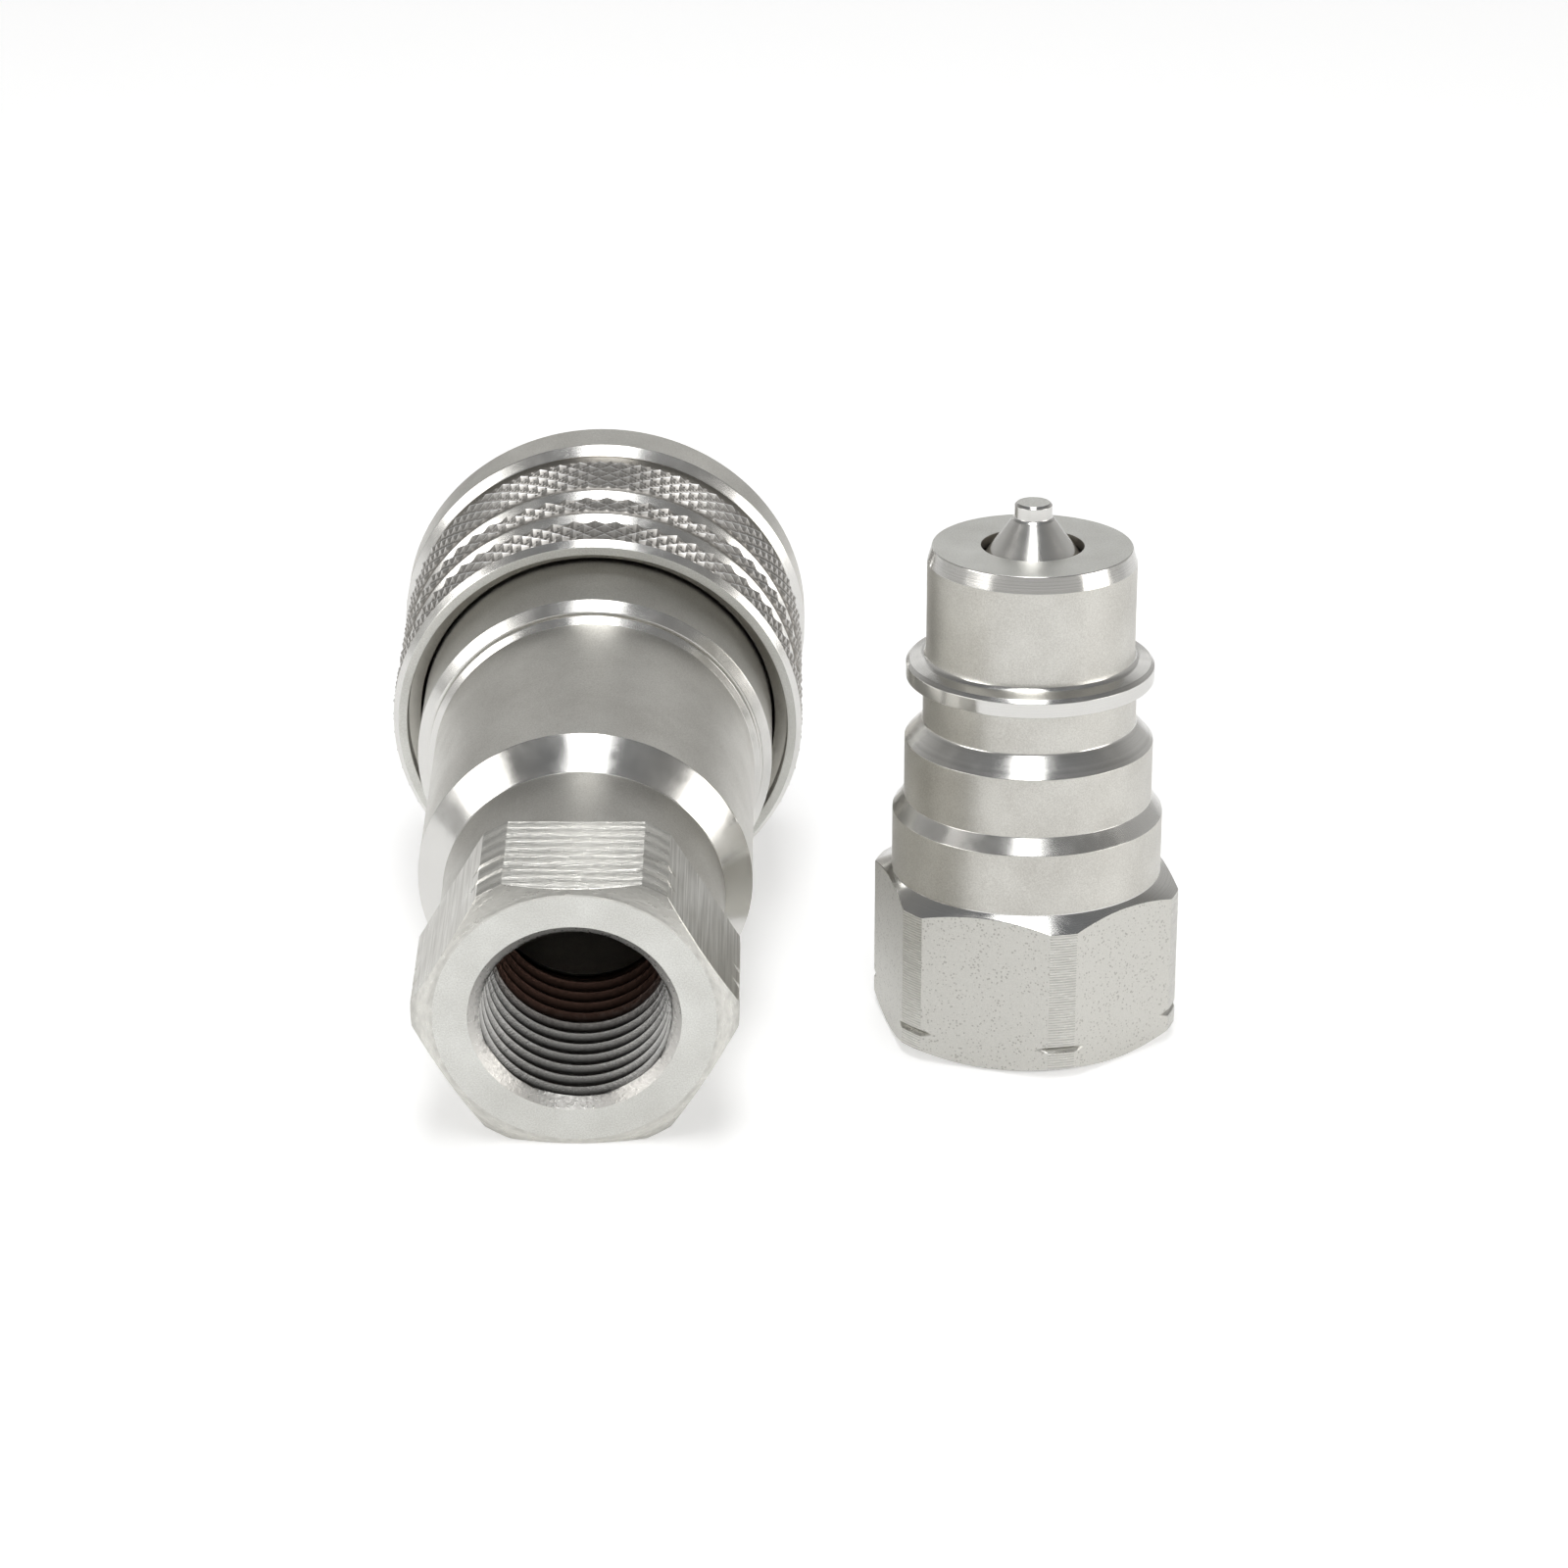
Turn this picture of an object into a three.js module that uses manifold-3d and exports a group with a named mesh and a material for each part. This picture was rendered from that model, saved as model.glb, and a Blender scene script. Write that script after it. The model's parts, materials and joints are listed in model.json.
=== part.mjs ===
// Quick disconnect coupler, both halves uncoupled: a threaded socket with a knurled locking
// sleeve lying on its side, and the matching plug standing on its hexagon beside it.
// Millimetres, +Z up, origin at the bottom centre of the whole set.
import * as THREE from "three";
import { mergeVertices } from "three/addons/utils/BufferGeometryUtils.js";
import Module from "manifold-3d";

const wasm = await Module();
wasm.setup();

// ---------------------------------------------------------------------------------------
// Driving dimensions
// ---------------------------------------------------------------------------------------

// Clearances
const seatGap = 0.3; // between pieces that rest against each other along an axis
const slideGap = 0.3; // radial, between sliding or nested round pieces
const noseFit = 0.17; // radial, plug nose in the socket's seal bore
const mouthFit = 0.18; // radial, plug ridge and collar in the socket's mouth
const ballFit = 0.12; // radial, locking ball in its hole
const coneFit = 0.2; // radial, poppet cone in its valve seat
const landFit = 0.37; // radial, sleeve land over the locked balls
const recessFit = 0.34; // radial, sleeve recess over the released balls
const lockedBallGap = 0.02; // locked ball off the plug's groove
const riddenBallGap = 0.05; // released ball off the plug's ridge
const coupledFaceGap = 0.35; // between the two valve faces when coupled
const coupledRidgeGap = 0.37; // between the plug's ridge and the mouth's shoulder when coupled
const grooveSideGap = 0.12; // rings and seals in their grooves
const sealGrooveRelief = 0.1; // seal grooves, beyond the seal's section
const splitRingGap = 3;

// Hexagon ends, milled on round bar
const hexAcrossFlats = 28.1;
const barRadius = 15.5;
const hexFaceRadius = 13.55;
const hexChamferSlope = Math.tan(THREE.MathUtils.degToRad(30));
const notchDepth = 0.35;
const notchHalfWidth = 0.35;

// Pipe port, half-inch tapered thread shown at its pitch radius
const portThreadStep = 0.6; // pitch radius outside the bore behind it
const portDepth = 23;
const portMouthStep = 0.5;
const portMouthDepth = 0.9;

// Plug, from its hexagon up to its nose
const noseRadius = 10.28;
const noseWall = 1.98;
const noseLength = 11.72;
const noseChamfer = 1.6;
const noseFaceInset = 0.47;
const grooveStep = 0.27; // locking groove outside the nose
const grooveLength = 4.4;
const ridgeHeight = 1.7;
const ridgeLength = 1.8;
const ridgeChamfer = 0.35;
const noseFoot = 0.5; // length of the slope from the ridge up to the nose
const guideCollarStep = 0.07; // guide collar outside the ridge
const guideCollarLength = 5.98;
const guideConeLength = 1.96;
const markedCollarStep = 1.13; // marked collar outside the guide collar
const markedCollarLength = 6.28;
const collarConeLength = 1.52;
const plugHexLength = 16.64;
const plugNotchHeight = 3.1;
const leastUpperChamfer = 0.2;

// Poppet valves, the same in both halves
const orificeRadius = 5.05;
const seatLand = 0.9; // straight orifice between the face and the 45 degree seat
const noseConeGap = 1.0; // poppet's nose cone inside the orifice, at the face
const noseConeSlope = 0.716; // radius gained per height down the nose cone
const poppetTipRadius = 1.85;
const poppetTipLength = 1.67;
const poppetTipFlare = 0.25;
const poppetTipFoot = 0.2;
const poppetTipChamfer = 0.25;
const headClearance = 1.3; // poppet head inside the valve chamber
const headLength = 1.2;
const stemRadius = 2.2;
const stemChamfer = 0.4;
const valveSpringSpace = 15.4;
const valveSpringWire = 0.6;
const valveSpringTurns = 5.5;
const valveSpringHubGap = 0.2;
const stemOverhang = 3.6; // stem behind the guide
const guideStep = 0.7; // guide bore outside the valve chamber
const guideThickness = 2.5;
const guideRim = 1.5;
const guideHub = 1.7;
const guideLegWidth = 2.2;
const guideLegRoot = 0.4; // leg ends inside the hub and the rim
const guideRingThickness = 1.0;
const guideRingDepth = 0.75;
const guideRingLip = 0.2; // ring's bore outside the guide rim's bore

// Seals
const poppetSealSection = 0.55;
const poppetSealInset = 0.9; // seal ring outside the seat cone's small end
const poppetSealShoulder = 0.2; // seat cone in front of the seal groove
const poppetSealFit = 0.08;
const noseSealSection = 1.25;
const backupThickness = 1.1;
const backupFit = 0.05;
const noseSealSqueeze = 0.05;
const jointSealSection = 0.85;
const jointSealSqueeze = 0.1;
const jointSealSetback = 2.2; // from the spigot's end

// Locking balls
const ballCount = 8;
const ballRadius = 2.38;
const ballProud = 0.33; // locked ball outside its cage
const ballSeatShare = 0.98; // ball radius from the ridge flank to the ball centre

// Socket, from its hexagon to its mouth
const socketHexLength = 13;
const neckRadius = 13.9;
const neckLength = 10;
const markedRadius = 16.58;
const markedConeLength = 3;
const adaptorLength = 50.2;
const flareHeight = 0.67;
const socketNotches = [3.8, 6.5];
const spigotLength = 6;
const spigotWall = 5.7;
const seatBack = 0.15;
const springAnnulus = 3.41; // between the ball cage and the body outside
const bodyChamfer = 0.95;
const mouthChamfer = 1.1;
const noseLip = 2.3;
const sealLand = 2.2;

// Locking sleeve
const sleeveTravel = 6;
const sleeveWall = 4.3;
const landBehindBalls = 3;
const landBeforeBalls = 3.2;
const rampOffset = 0.5;
const sleeveSpringSpace = 12;
const sleeveSpringWire = 0.9;
const sleeveSpringTurns = 3.5;
const sleeveOverhang = 2.2;
const frontRingLength = 4.5;
const frontRingStep = 0.23;
const frontRingChamfer = 0.6;
const frontRingEdge = 0.4;
const sleeveNeckLength = 2.6;
const sleeveNeckDepth = 0.7;
const knurlFront = 6.25;
const knurlMiddle = 2.5;
const knurlRear = 4.1;
const knurlGrooveLength = 3.2;
const knurlGrooveDepth = 1.15;
const rearChamferLength = 0.9;
const rearChamferHeight = 0.75;
const rearMouthStep = 1.3;
const rearMouthDepth = 1.4;
const rearMouthCone = 0.7;

// Stop ring of the sleeve
const stopRingThickness = 1.2;
const stopRingDepth = 0.8;
const stopRingClearance = 0.4; // radial, inside the sleeve's recess

// Where the plug stands, seen from the centre of the socket's hexagon face
const plugSide = 43.94;
const plugAhead = 31.67;
const plugTurn = THREE.MathUtils.degToRad(-18.9);

// Facets round a full turn
const bodyFacets = 36;
const innerFacets = 24;

// ---------------------------------------------------------------------------------------
// Sizes that follow from the ones above
// ---------------------------------------------------------------------------------------

const chamberRadius = noseRadius - noseWall;
const guideBoreRadius = chamberRadius + guideStep;
const portRadius = guideBoreRadius + portThreadStep;
const portMouthRadius = portRadius + portMouthStep;

// Plug heights
const markedCollarBase = plugHexLength;
const markedCollarTop = markedCollarBase + markedCollarLength;
const guideCollarBase = markedCollarTop + collarConeLength;
const guideCollarTop = guideCollarBase + guideCollarLength;
const grooveBase = guideCollarTop + guideConeLength;
const ridgeBase = grooveBase + grooveLength;
const ridgeTop = ridgeBase + ridgeLength;
const plugFace = ridgeTop + noseLength;
const grooveRadius = noseRadius + grooveStep;
const ridgeRadius = grooveRadius + ridgeHeight;
const guideCollarRadius = ridgeRadius + guideCollarStep;
const markedCollarRadius = guideCollarRadius + markedCollarStep;
const ballSeatHeight = ridgeBase - ballSeatShare * ballRadius;

// Poppet, measured from the face that it closes: positive is outwards
const coneAtFace = orificeRadius - noseConeGap;
const coneAtSeat = orificeRadius - coneFit;
const seatDepth = seatLand + chamberRadius - orificeRadius;
const headRadius = chamberRadius - headClearance;
const tipBase = (coneAtFace - poppetTipRadius - poppetTipFlare) / noseConeSlope;
const tipTop = tipBase + poppetTipLength;
// The seal ring lies in the poppet's seat cone, just short of the seat's 45 degree cone.
const poppetSealRadius = coneAtSeat + poppetSealInset;
const poppetSealReach = (poppetSealSection + poppetSealFit) * Math.SQRT2;
const poppetSealHeight = orificeRadius - seatLand - poppetSealRadius - poppetSealReach;
const sealGrooveHalf = poppetSealSection + sealGrooveRelief;
const sealGrooveHigh = poppetSealHeight + sealGrooveHalf;
const sealGrooveLow = poppetSealHeight - sealGrooveHalf;
const seatConeTop = sealGrooveHigh + poppetSealShoulder;
const headFront = Math.min(coneAtSeat - seatLand - headRadius, sealGrooveLow);
const headBack = headFront - headLength;
const guideFront = headBack - valveSpringSpace;
const guideBack = guideFront - guideThickness;
const stemEnd = guideBack - stemOverhang;
const guideRingFront = guideBack - seatGap;
const guideRingBack = guideRingFront - guideRingThickness;
const guideShoulder = guideFront + seatGap;
const hubRadius = stemRadius + slideGap + guideHub;

// Ball lock radii
const ballLockedRadius = grooveRadius + ballRadius + lockedBallGap;
const ballTravel = ridgeRadius + riddenBallGap - (ballLockedRadius - ballRadius);
const cageRadius = ballLockedRadius + ballRadius - ballProud;
const landRadius = ballLockedRadius + ballRadius + landFit;
const recessRadius = ballLockedRadius + ballTravel + ballRadius + recessFit;
const bodyRadius = cageRadius + springAnnulus;
const sleeveBoreRadius = bodyRadius + slideGap;
const knurlRadius = recessRadius + sleeveWall;
const noseBoreRadius = noseRadius + noseFit;
const mouthRadius = guideCollarRadius + mouthFit;

// Socket stations, measured from the hexagon's end face
const spigotRadius = chamberRadius + spigotWall;
const bodyRear = adaptorLength + seatGap;
const counterboreFloor = bodyRear + spigotLength;
const seatFace = counterboreFloor + seatDepth + seatBack;
const ballStation = seatFace + coupledFaceGap + plugFace - ballSeatHeight;
const mouthShoulder = ballStation - (ridgeTop - ballSeatHeight) - coupledRidgeGap;
const sealGrooveFront = mouthShoulder - sealLand;
const sealGrooveLength = 2 * noseSealSection + backupThickness + 3 * grooveSideGap;
const sealGrooveRear = sealGrooveFront - sealGrooveLength;
const sealGrooveRadius = noseRadius + 2 * noseSealSection + grooveSideGap;
const landRear = ballStation - landBehindBalls;
const landFront = ballStation + landBeforeBalls;
const stopRingRear = landFront + seatGap;
const stopRingFront = stopRingRear + stopRingThickness;
const bodyFront = stopRingFront + grooveSideGap + noseLip;
const springSeat = landRear - sleeveSpringSpace;
const sleeveFront = bodyFront + sleeveOverhang;
const neckEnd = socketHexLength + neckLength;

// Outside of the sleeve, from its front face back
const frontRingRear = sleeveFront - frontRingLength;
const sleeveNeckFront = frontRingRear - frontRingChamfer;
const knurlFrontEnd = sleeveNeckFront - sleeveNeckLength;
const grooveAFront = knurlFrontEnd - knurlFront;
const grooveARear = grooveAFront - knurlGrooveLength;
const grooveBFront = grooveARear - knurlMiddle;
const grooveBRear = grooveBFront - knurlGrooveLength;
const knurlRearEnd = grooveBRear - knurlRear;
const sleeveRear = knurlRearEnd - rearChamferLength;
const frontRingRadius = knurlRadius + frontRingStep;

// The socket rests on the near edge of one hexagon flat and on the rear edge of the knurl.
const flatEdgeStation = (hexAcrossFlats / 2 - hexFaceRadius) * hexChamferSlope;
const restPitch = Math.atan2(
  knurlRadius - hexAcrossFlats / 2,
  knurlRearEnd - flatEdgeStation,
);
const hexFaceHeight =
  (hexAcrossFlats / 2) * Math.cos(restPitch) - flatEdgeStation * Math.sin(restPitch);

// ---------------------------------------------------------------------------------------
// Materials
// ---------------------------------------------------------------------------------------

function metal(color, roughness, metalness = 1) {
  return new THREE.MeshStandardMaterial({ color, roughness, metalness });
}

const turnedSteel = metal(0xc9cbc4, 0.38);
const knurledSteel = metal(0xbfc1bb, 0.42);
const polishedSteel = metal(0xd6d8d4, 0.16);
const springSteel = metal(0x8d8f92, 0.35);
const ballSteel = metal(0xdfe1e2, 0.08);
const blackRubber = metal(0x17181a, 0.75, 0);
const whiteSealant = metal(0xe9e7df, 0.55, 0);

// ---------------------------------------------------------------------------------------
// Shape helpers: every round piece is turned about +Z
// ---------------------------------------------------------------------------------------

// A turned solid from an outline of [radius, height] corners. An outline that doesn't reach
// the axis is closed on itself.
function turned(outline, facets = bodyFacets) {
  const points = outline.map(([r, h]) => new THREE.Vector2(r, h));
  const onAxis = outline[0][0] === 0 && outline[outline.length - 1][0] === 0;
  if (THREE.ShapeUtils.area(points) < 0) points.reverse();
  if (!onAxis) points.push(points[0].clone());
  return new THREE.LatheGeometry(points, facets).rotateX(Math.PI / 2);
}

function asSolid(geometry) {
  const bare = geometry.clone();
  bare.deleteAttribute("normal");
  bare.deleteAttribute("uv");
  const merged = mergeVertices(bare, 1e-4);
  return new wasm.Manifold(
    new wasm.Mesh({
      numProp: 3,
      vertProperties: merged.attributes.position.array,
      triVerts: new Uint32Array(merged.index.array),
    }),
  );
}

function asGeometry(solid) {
  const mesh = solid.getMesh();
  const geometry = new THREE.BufferGeometry();
  geometry.setAttribute("position", new THREE.BufferAttribute(mesh.vertProperties, 3));
  geometry.setIndex(new THREE.BufferAttribute(mesh.triVerts, 1));
  const faceted = geometry.toNonIndexed();
  faceted.computeVertexNormals();
  return faceted;
}

// What lies outside the six flats, from below zero up to the given height.
function flatsCutter(acrossFlats, top) {
  const corners = [];
  for (let i = 0; i < 6; i++) {
    const angle = (i * Math.PI) / 3;
    const reach = acrossFlats / Math.sqrt(3);
    corners.push(new THREE.Vector2(reach * Math.cos(angle), reach * Math.sin(angle)));
  }
  const below = 2;
  const ring = new THREE.Shape();
  ring.absarc(0, 0, 2 * barRadius, 0, 2 * Math.PI, false);
  ring.holes.push(new THREE.Path(corners));
  const cutter = new THREE.ExtrudeGeometry(ring, {
    depth: top + below,
    bevelEnabled: false,
    curveSegments: 12,
  });
  return asSolid(cutter.translate(0, 0, -below));
}

// The three outline corners of a shallow groove round the bar.
function notch(height) {
  return [
    [barRadius, height - notchHalfWidth],
    [barRadius - notchDepth, height],
    [barRadius, height + notchHalfWidth],
  ];
}

// A seal ring or wire ring of round section.
function roundRing(meanRadius, sectionRadius, height) {
  const sides = 6;
  const outline = [];
  for (let i = 0; i < sides; i++) {
    const angle = ((i + 0.5) * 2 * Math.PI) / sides;
    outline.push([
      meanRadius + sectionRadius * Math.cos(angle),
      height + sectionRadius * Math.sin(angle),
    ]);
  }
  return turned(outline, innerFacets);
}

function flatRing(innerRadius, outerRadius, low, high, facets = innerFacets) {
  return turned(
    [
      [innerRadius, low],
      [outerRadius, low],
      [outerRadius, high],
      [innerRadius, high],
    ],
    facets,
  );
}

class Coil extends THREE.Curve {
  constructor(radius, turns, low, high) {
    super();
    Object.assign(this, { radius, turns, low, high });
  }
  getPoint(t, target = new THREE.Vector3()) {
    const angle = 2 * Math.PI * this.turns * t;
    const height = THREE.MathUtils.lerp(this.low, this.high, t);
    return target.set(this.radius * Math.cos(angle), this.radius * Math.sin(angle), height);
  }
}

// A compression spring between two faces, its wire just clear of both.
function spring(meanRadius, wireRadius, turns, low, high) {
  const sides = 5;
  const stepsPerTurn = 12;
  const section = new THREE.Shape();
  for (let i = 0; i < sides; i++) {
    const angle = (i * 2 * Math.PI) / sides;
    const [x, y] = [wireRadius * Math.cos(angle), wireRadius * Math.sin(angle)];
    if (i === 0) section.moveTo(x, y);
    else section.lineTo(x, y);
  }
  const ends = wireRadius + seatGap;
  return new THREE.ExtrudeGeometry(section, {
    steps: Math.round(turns * stepsPerTurn),
    extrudePath: new Coil(meanRadius, turns, low + ends, high - ends),
    bevelEnabled: false,
  });
}

function piece(name, geometry, material) {
  const mesh = new THREE.Mesh(geometry, material);
  mesh.name = name;
  return mesh;
}

// ---------------------------------------------------------------------------------------
// Valve pieces that both halves share: `face` is the face that the poppet closes, and the
// poppet points towards +Z there.
// ---------------------------------------------------------------------------------------

function poppet(face) {
  const seatCone = (height) => coneAtSeat - seatLand - height;
  const sealGrooveFloor = poppetSealRadius - sealGrooveHalf;
  const outline = [
    [0, tipTop],
    [poppetTipRadius - poppetTipChamfer, tipTop],
    [poppetTipRadius, tipTop - poppetTipChamfer],
    [poppetTipRadius, tipBase + poppetTipFoot],
    [poppetTipRadius + poppetTipFlare, tipBase],
    [coneAtFace - noseConeSlope * seatConeTop, seatConeTop],
    [seatCone(seatConeTop), seatConeTop],
    [seatCone(sealGrooveHigh), sealGrooveHigh],
    [sealGrooveFloor, sealGrooveHigh],
    [sealGrooveFloor, sealGrooveLow],
    [Math.min(seatCone(sealGrooveLow), headRadius), sealGrooveLow],
    [headRadius, headFront],
    [headRadius, headBack],
    [stemRadius, headBack],
    [stemRadius, stemEnd + stemChamfer],
    [stemRadius - stemChamfer, stemEnd],
    [0, stemEnd],
  ];
  return turned(outline, innerFacets).translate(0, 0, face);
}

function poppetSeal(face) {
  return roundRing(poppetSealRadius, poppetSealSection, face + poppetSealHeight);
}

function valveSpring(face) {
  const meanRadius = hubRadius + valveSpringWire + valveSpringHubGap;
  return spring(
    meanRadius,
    valveSpringWire,
    valveSpringTurns,
    face + guideFront,
    face + headBack,
  );
}

// A hub for the stem, carried by three legs inside a rim.
function stemGuide(face) {
  const rimRadius = guideBoreRadius - slideGap;
  const [low, high] = [face + guideBack, face + guideFront];
  let guide = asSolid(flatRing(rimRadius - guideRim, rimRadius, low, high));
  guide = guide.add(asSolid(flatRing(stemRadius + slideGap, hubRadius, low, high)));
  const legFrom = hubRadius - guideLegRoot;
  const legLength = rimRadius - guideRim + guideLegRoot - legFrom;
  for (let i = 0; i < 3; i++) {
    const leg = new THREE.BoxGeometry(legLength, guideLegWidth, guideThickness);
    leg.translate(legFrom + legLength / 2, 0, (low + high) / 2);
    leg.rotateZ((i * 2 * Math.PI) / 3);
    guide = guide.add(asSolid(leg));
  }
  return asGeometry(guide);
}

// A wire ring, split so that it can be sprung into its groove.
function splitRing(innerRadius, outerRadius, low, high) {
  const whole = asSolid(flatRing(innerRadius, outerRadius, low, high, bodyFacets));
  const slot = new THREE.BoxGeometry(outerRadius * 2, splitRingGap, 2 * (high - low));
  slot.translate(outerRadius, 0, (low + high) / 2);
  return asGeometry(whole.subtract(asSolid(slot)));
}

function guideRing(face) {
  const outer = guideBoreRadius + guideRingDepth - grooveSideGap;
  const inner = guideBoreRadius - guideRim + guideRingLip;
  return splitRing(inner, outer, face + guideRingBack, face + guideRingFront);
}

// The inside of a valve housing from its port up to the guide's shoulder, as outline corners
// in rising order. `port` is the height of the port's end face.
function portBore(port, face) {
  const ringLow = face + guideRingBack - grooveSideGap;
  const ringHigh = face + guideRingFront + grooveSideGap;
  return [
    [portMouthRadius, port],
    [portRadius, port + portMouthDepth],
    [portRadius, port + portDepth],
    [guideBoreRadius, port + portDepth + portThreadStep],
    [guideBoreRadius, ringLow],
    [guideBoreRadius + guideRingDepth, ringLow],
    [guideBoreRadius + guideRingDepth, ringHigh],
    [guideBoreRadius, ringHigh],
    [guideBoreRadius, face + guideShoulder],
    [chamberRadius, face + guideShoulder],
  ];
}

// ---------------------------------------------------------------------------------------
// Plug half
// ---------------------------------------------------------------------------------------

function plugBody() {
  const hexChamfer = (barRadius - hexFaceRadius) * hexChamferSlope;
  const upperChamfer = (barRadius - markedCollarRadius) * hexChamferSlope;
  const outside = [
    [hexFaceRadius, 0],
    [barRadius, hexChamfer],
    ...notch(plugNotchHeight),
    [barRadius, markedCollarBase - Math.max(upperChamfer, leastUpperChamfer)],
    [markedCollarRadius, markedCollarBase],
    [markedCollarRadius, markedCollarTop],
    [guideCollarRadius, guideCollarBase],
    [guideCollarRadius, guideCollarTop],
    [grooveRadius, grooveBase],
    [grooveRadius, ridgeBase],
    [ridgeRadius, ridgeBase],
    [ridgeRadius, ridgeTop - ridgeChamfer],
    [ridgeRadius - ridgeChamfer, ridgeTop],
    [noseRadius, ridgeTop + noseFoot],
    [noseRadius, plugFace - noseChamfer],
    [noseRadius - noseFaceInset, plugFace],
  ];
  const inside = [
    ...portBore(0, plugFace),
    [chamberRadius, plugFace - seatDepth],
    [orificeRadius, plugFace - seatLand],
    [orificeRadius, plugFace],
  ];
  const blank = turned([...outside, ...inside.reverse()]);
  const flatsTop = plugHexLength;
  return asGeometry(asSolid(blank).subtract(flatsCutter(hexAcrossFlats, flatsTop)));
}

function plugHalf() {
  const half = new THREE.Group();
  half.add(
    piece("plug_body", plugBody(), turnedSteel),
    piece("plug_poppet", poppet(plugFace), polishedSteel),
    piece("plug_poppet_seal", poppetSeal(plugFace), blackRubber),
    piece("plug_valve_spring", valveSpring(plugFace), springSteel),
    piece("plug_stem_guide", stemGuide(plugFace), polishedSteel),
    piece("plug_guide_ring", guideRing(plugFace), springSteel),
  );
  return half;
}

// ---------------------------------------------------------------------------------------
// Socket half, its hexagon face at zero and its mouth towards +Z
// ---------------------------------------------------------------------------------------

const jointGrooveCentre = adaptorLength + spigotLength - jointSealSetback;

function socketAdaptor() {
  const hexChamfer = (barRadius - hexFaceRadius) * hexChamferSlope;
  const jointGrooveHalf = jointSealSection + sealGrooveRelief;
  const jointFloor = spigotRadius - 2 * jointSealSection;
  const spigotEnd = adaptorLength + spigotLength;
  const outside = [
    [hexFaceRadius, 0],
    [barRadius, hexChamfer],
    ...socketNotches.flatMap(notch),
    [barRadius, socketHexLength],
    [neckRadius, socketHexLength],
    [neckRadius, neckEnd],
    [markedRadius, neckEnd + markedConeLength],
    [markedRadius, adaptorLength - flareHeight],
    [markedRadius + flareHeight, adaptorLength],
    [spigotRadius, adaptorLength],
    [spigotRadius, jointGrooveCentre - jointGrooveHalf],
    [jointFloor, jointGrooveCentre - jointGrooveHalf],
    [jointFloor, jointGrooveCentre + jointGrooveHalf],
    [spigotRadius, jointGrooveCentre + jointGrooveHalf],
    [spigotRadius, spigotEnd],
    [chamberRadius, spigotEnd],
  ];
  const blank = turned([...outside, ...portBore(0, seatFace).reverse()]);
  return asGeometry(asSolid(blank).subtract(flatsCutter(hexAcrossFlats, socketHexLength)));
}

function socketBody() {
  const counterboreRadius = spigotRadius + slideGap;
  const stopGrooveRadius = cageRadius - stopRingDepth;
  const outline = [
    [counterboreRadius, bodyRear],
    [bodyRadius - bodyChamfer, bodyRear],
    [bodyRadius, bodyRear + bodyChamfer],
    [bodyRadius, springSeat],
    [cageRadius, springSeat],
    [cageRadius, stopRingRear - grooveSideGap],
    [stopGrooveRadius, stopRingRear - grooveSideGap],
    [stopGrooveRadius, stopRingFront + grooveSideGap],
    [cageRadius, stopRingFront + grooveSideGap],
    [cageRadius, bodyFront],
    [mouthRadius + mouthChamfer, bodyFront],
    [mouthRadius, bodyFront - mouthChamfer],
    [mouthRadius, mouthShoulder],
    [noseBoreRadius, mouthShoulder],
    [noseBoreRadius, sealGrooveFront],
    [sealGrooveRadius, sealGrooveFront],
    [sealGrooveRadius, sealGrooveRear],
    [noseBoreRadius, sealGrooveRear],
    [noseBoreRadius, seatFace],
    [orificeRadius, seatFace],
    [orificeRadius, seatFace - seatLand],
    [chamberRadius, seatFace - seatDepth],
    [chamberRadius, counterboreFloor],
    [counterboreRadius, counterboreFloor],
  ];
  let body = asSolid(turned(outline));
  for (let i = 0; i < ballCount; i++) {
    const reach = 2 * cageRadius;
    const holeRadius = ballRadius + ballFit;
    const hole = new THREE.CylinderGeometry(holeRadius, holeRadius, reach, 16);
    hole.rotateZ(-Math.PI / 2).translate(reach / 2, 0, ballStation);
    hole.rotateZ(ballAngle(i));
    body = body.subtract(asSolid(hole));
  }
  return asGeometry(body);
}

function ballAngle(index) {
  return (index * 2 * Math.PI) / ballCount;
}

function lockingSleeve() {
  const rampSlope = ballTravel / sleeveTravel;
  const rampStart = ballStation + rampOffset;
  const rampEndRadius = landRadius + rampSlope * (landFront - rampStart);
  const grooveRadiusOutside = knurlRadius - knurlGrooveDepth;
  const sleeveNeckRadius = knurlRadius - sleeveNeckDepth;
  const rearMouthRadius = sleeveBoreRadius + rearMouthStep;
  const outline = [
    [rearMouthRadius, sleeveRear],
    [knurlRadius - rearChamferHeight, sleeveRear],
    [knurlRadius, knurlRearEnd],
    [knurlRadius, grooveBRear],
    [grooveRadiusOutside, grooveBRear + knurlGrooveDepth],
    [grooveRadiusOutside, grooveBFront - knurlGrooveDepth],
    [knurlRadius, grooveBFront],
    [knurlRadius, grooveARear],
    [grooveRadiusOutside, grooveARear + knurlGrooveDepth],
    [grooveRadiusOutside, grooveAFront - knurlGrooveDepth],
    [knurlRadius, grooveAFront],
    [knurlRadius, knurlFrontEnd],
    [sleeveNeckRadius, knurlFrontEnd + sleeveNeckDepth],
    [sleeveNeckRadius, sleeveNeckFront],
    [frontRingRadius, frontRingRear],
    [frontRingRadius, sleeveFront - frontRingEdge],
    [frontRingRadius - frontRingEdge, sleeveFront],
    [recessRadius, sleeveFront],
    [recessRadius, landFront],
    [rampEndRadius, landFront],
    [landRadius, rampStart],
    [landRadius, landRear],
    [sleeveBoreRadius, landRear],
    [sleeveBoreRadius, sleeveRear + rearMouthDepth + rearMouthCone],
    [rearMouthRadius, sleeveRear + rearMouthDepth],
  ];
  return turned(outline);
}

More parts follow.
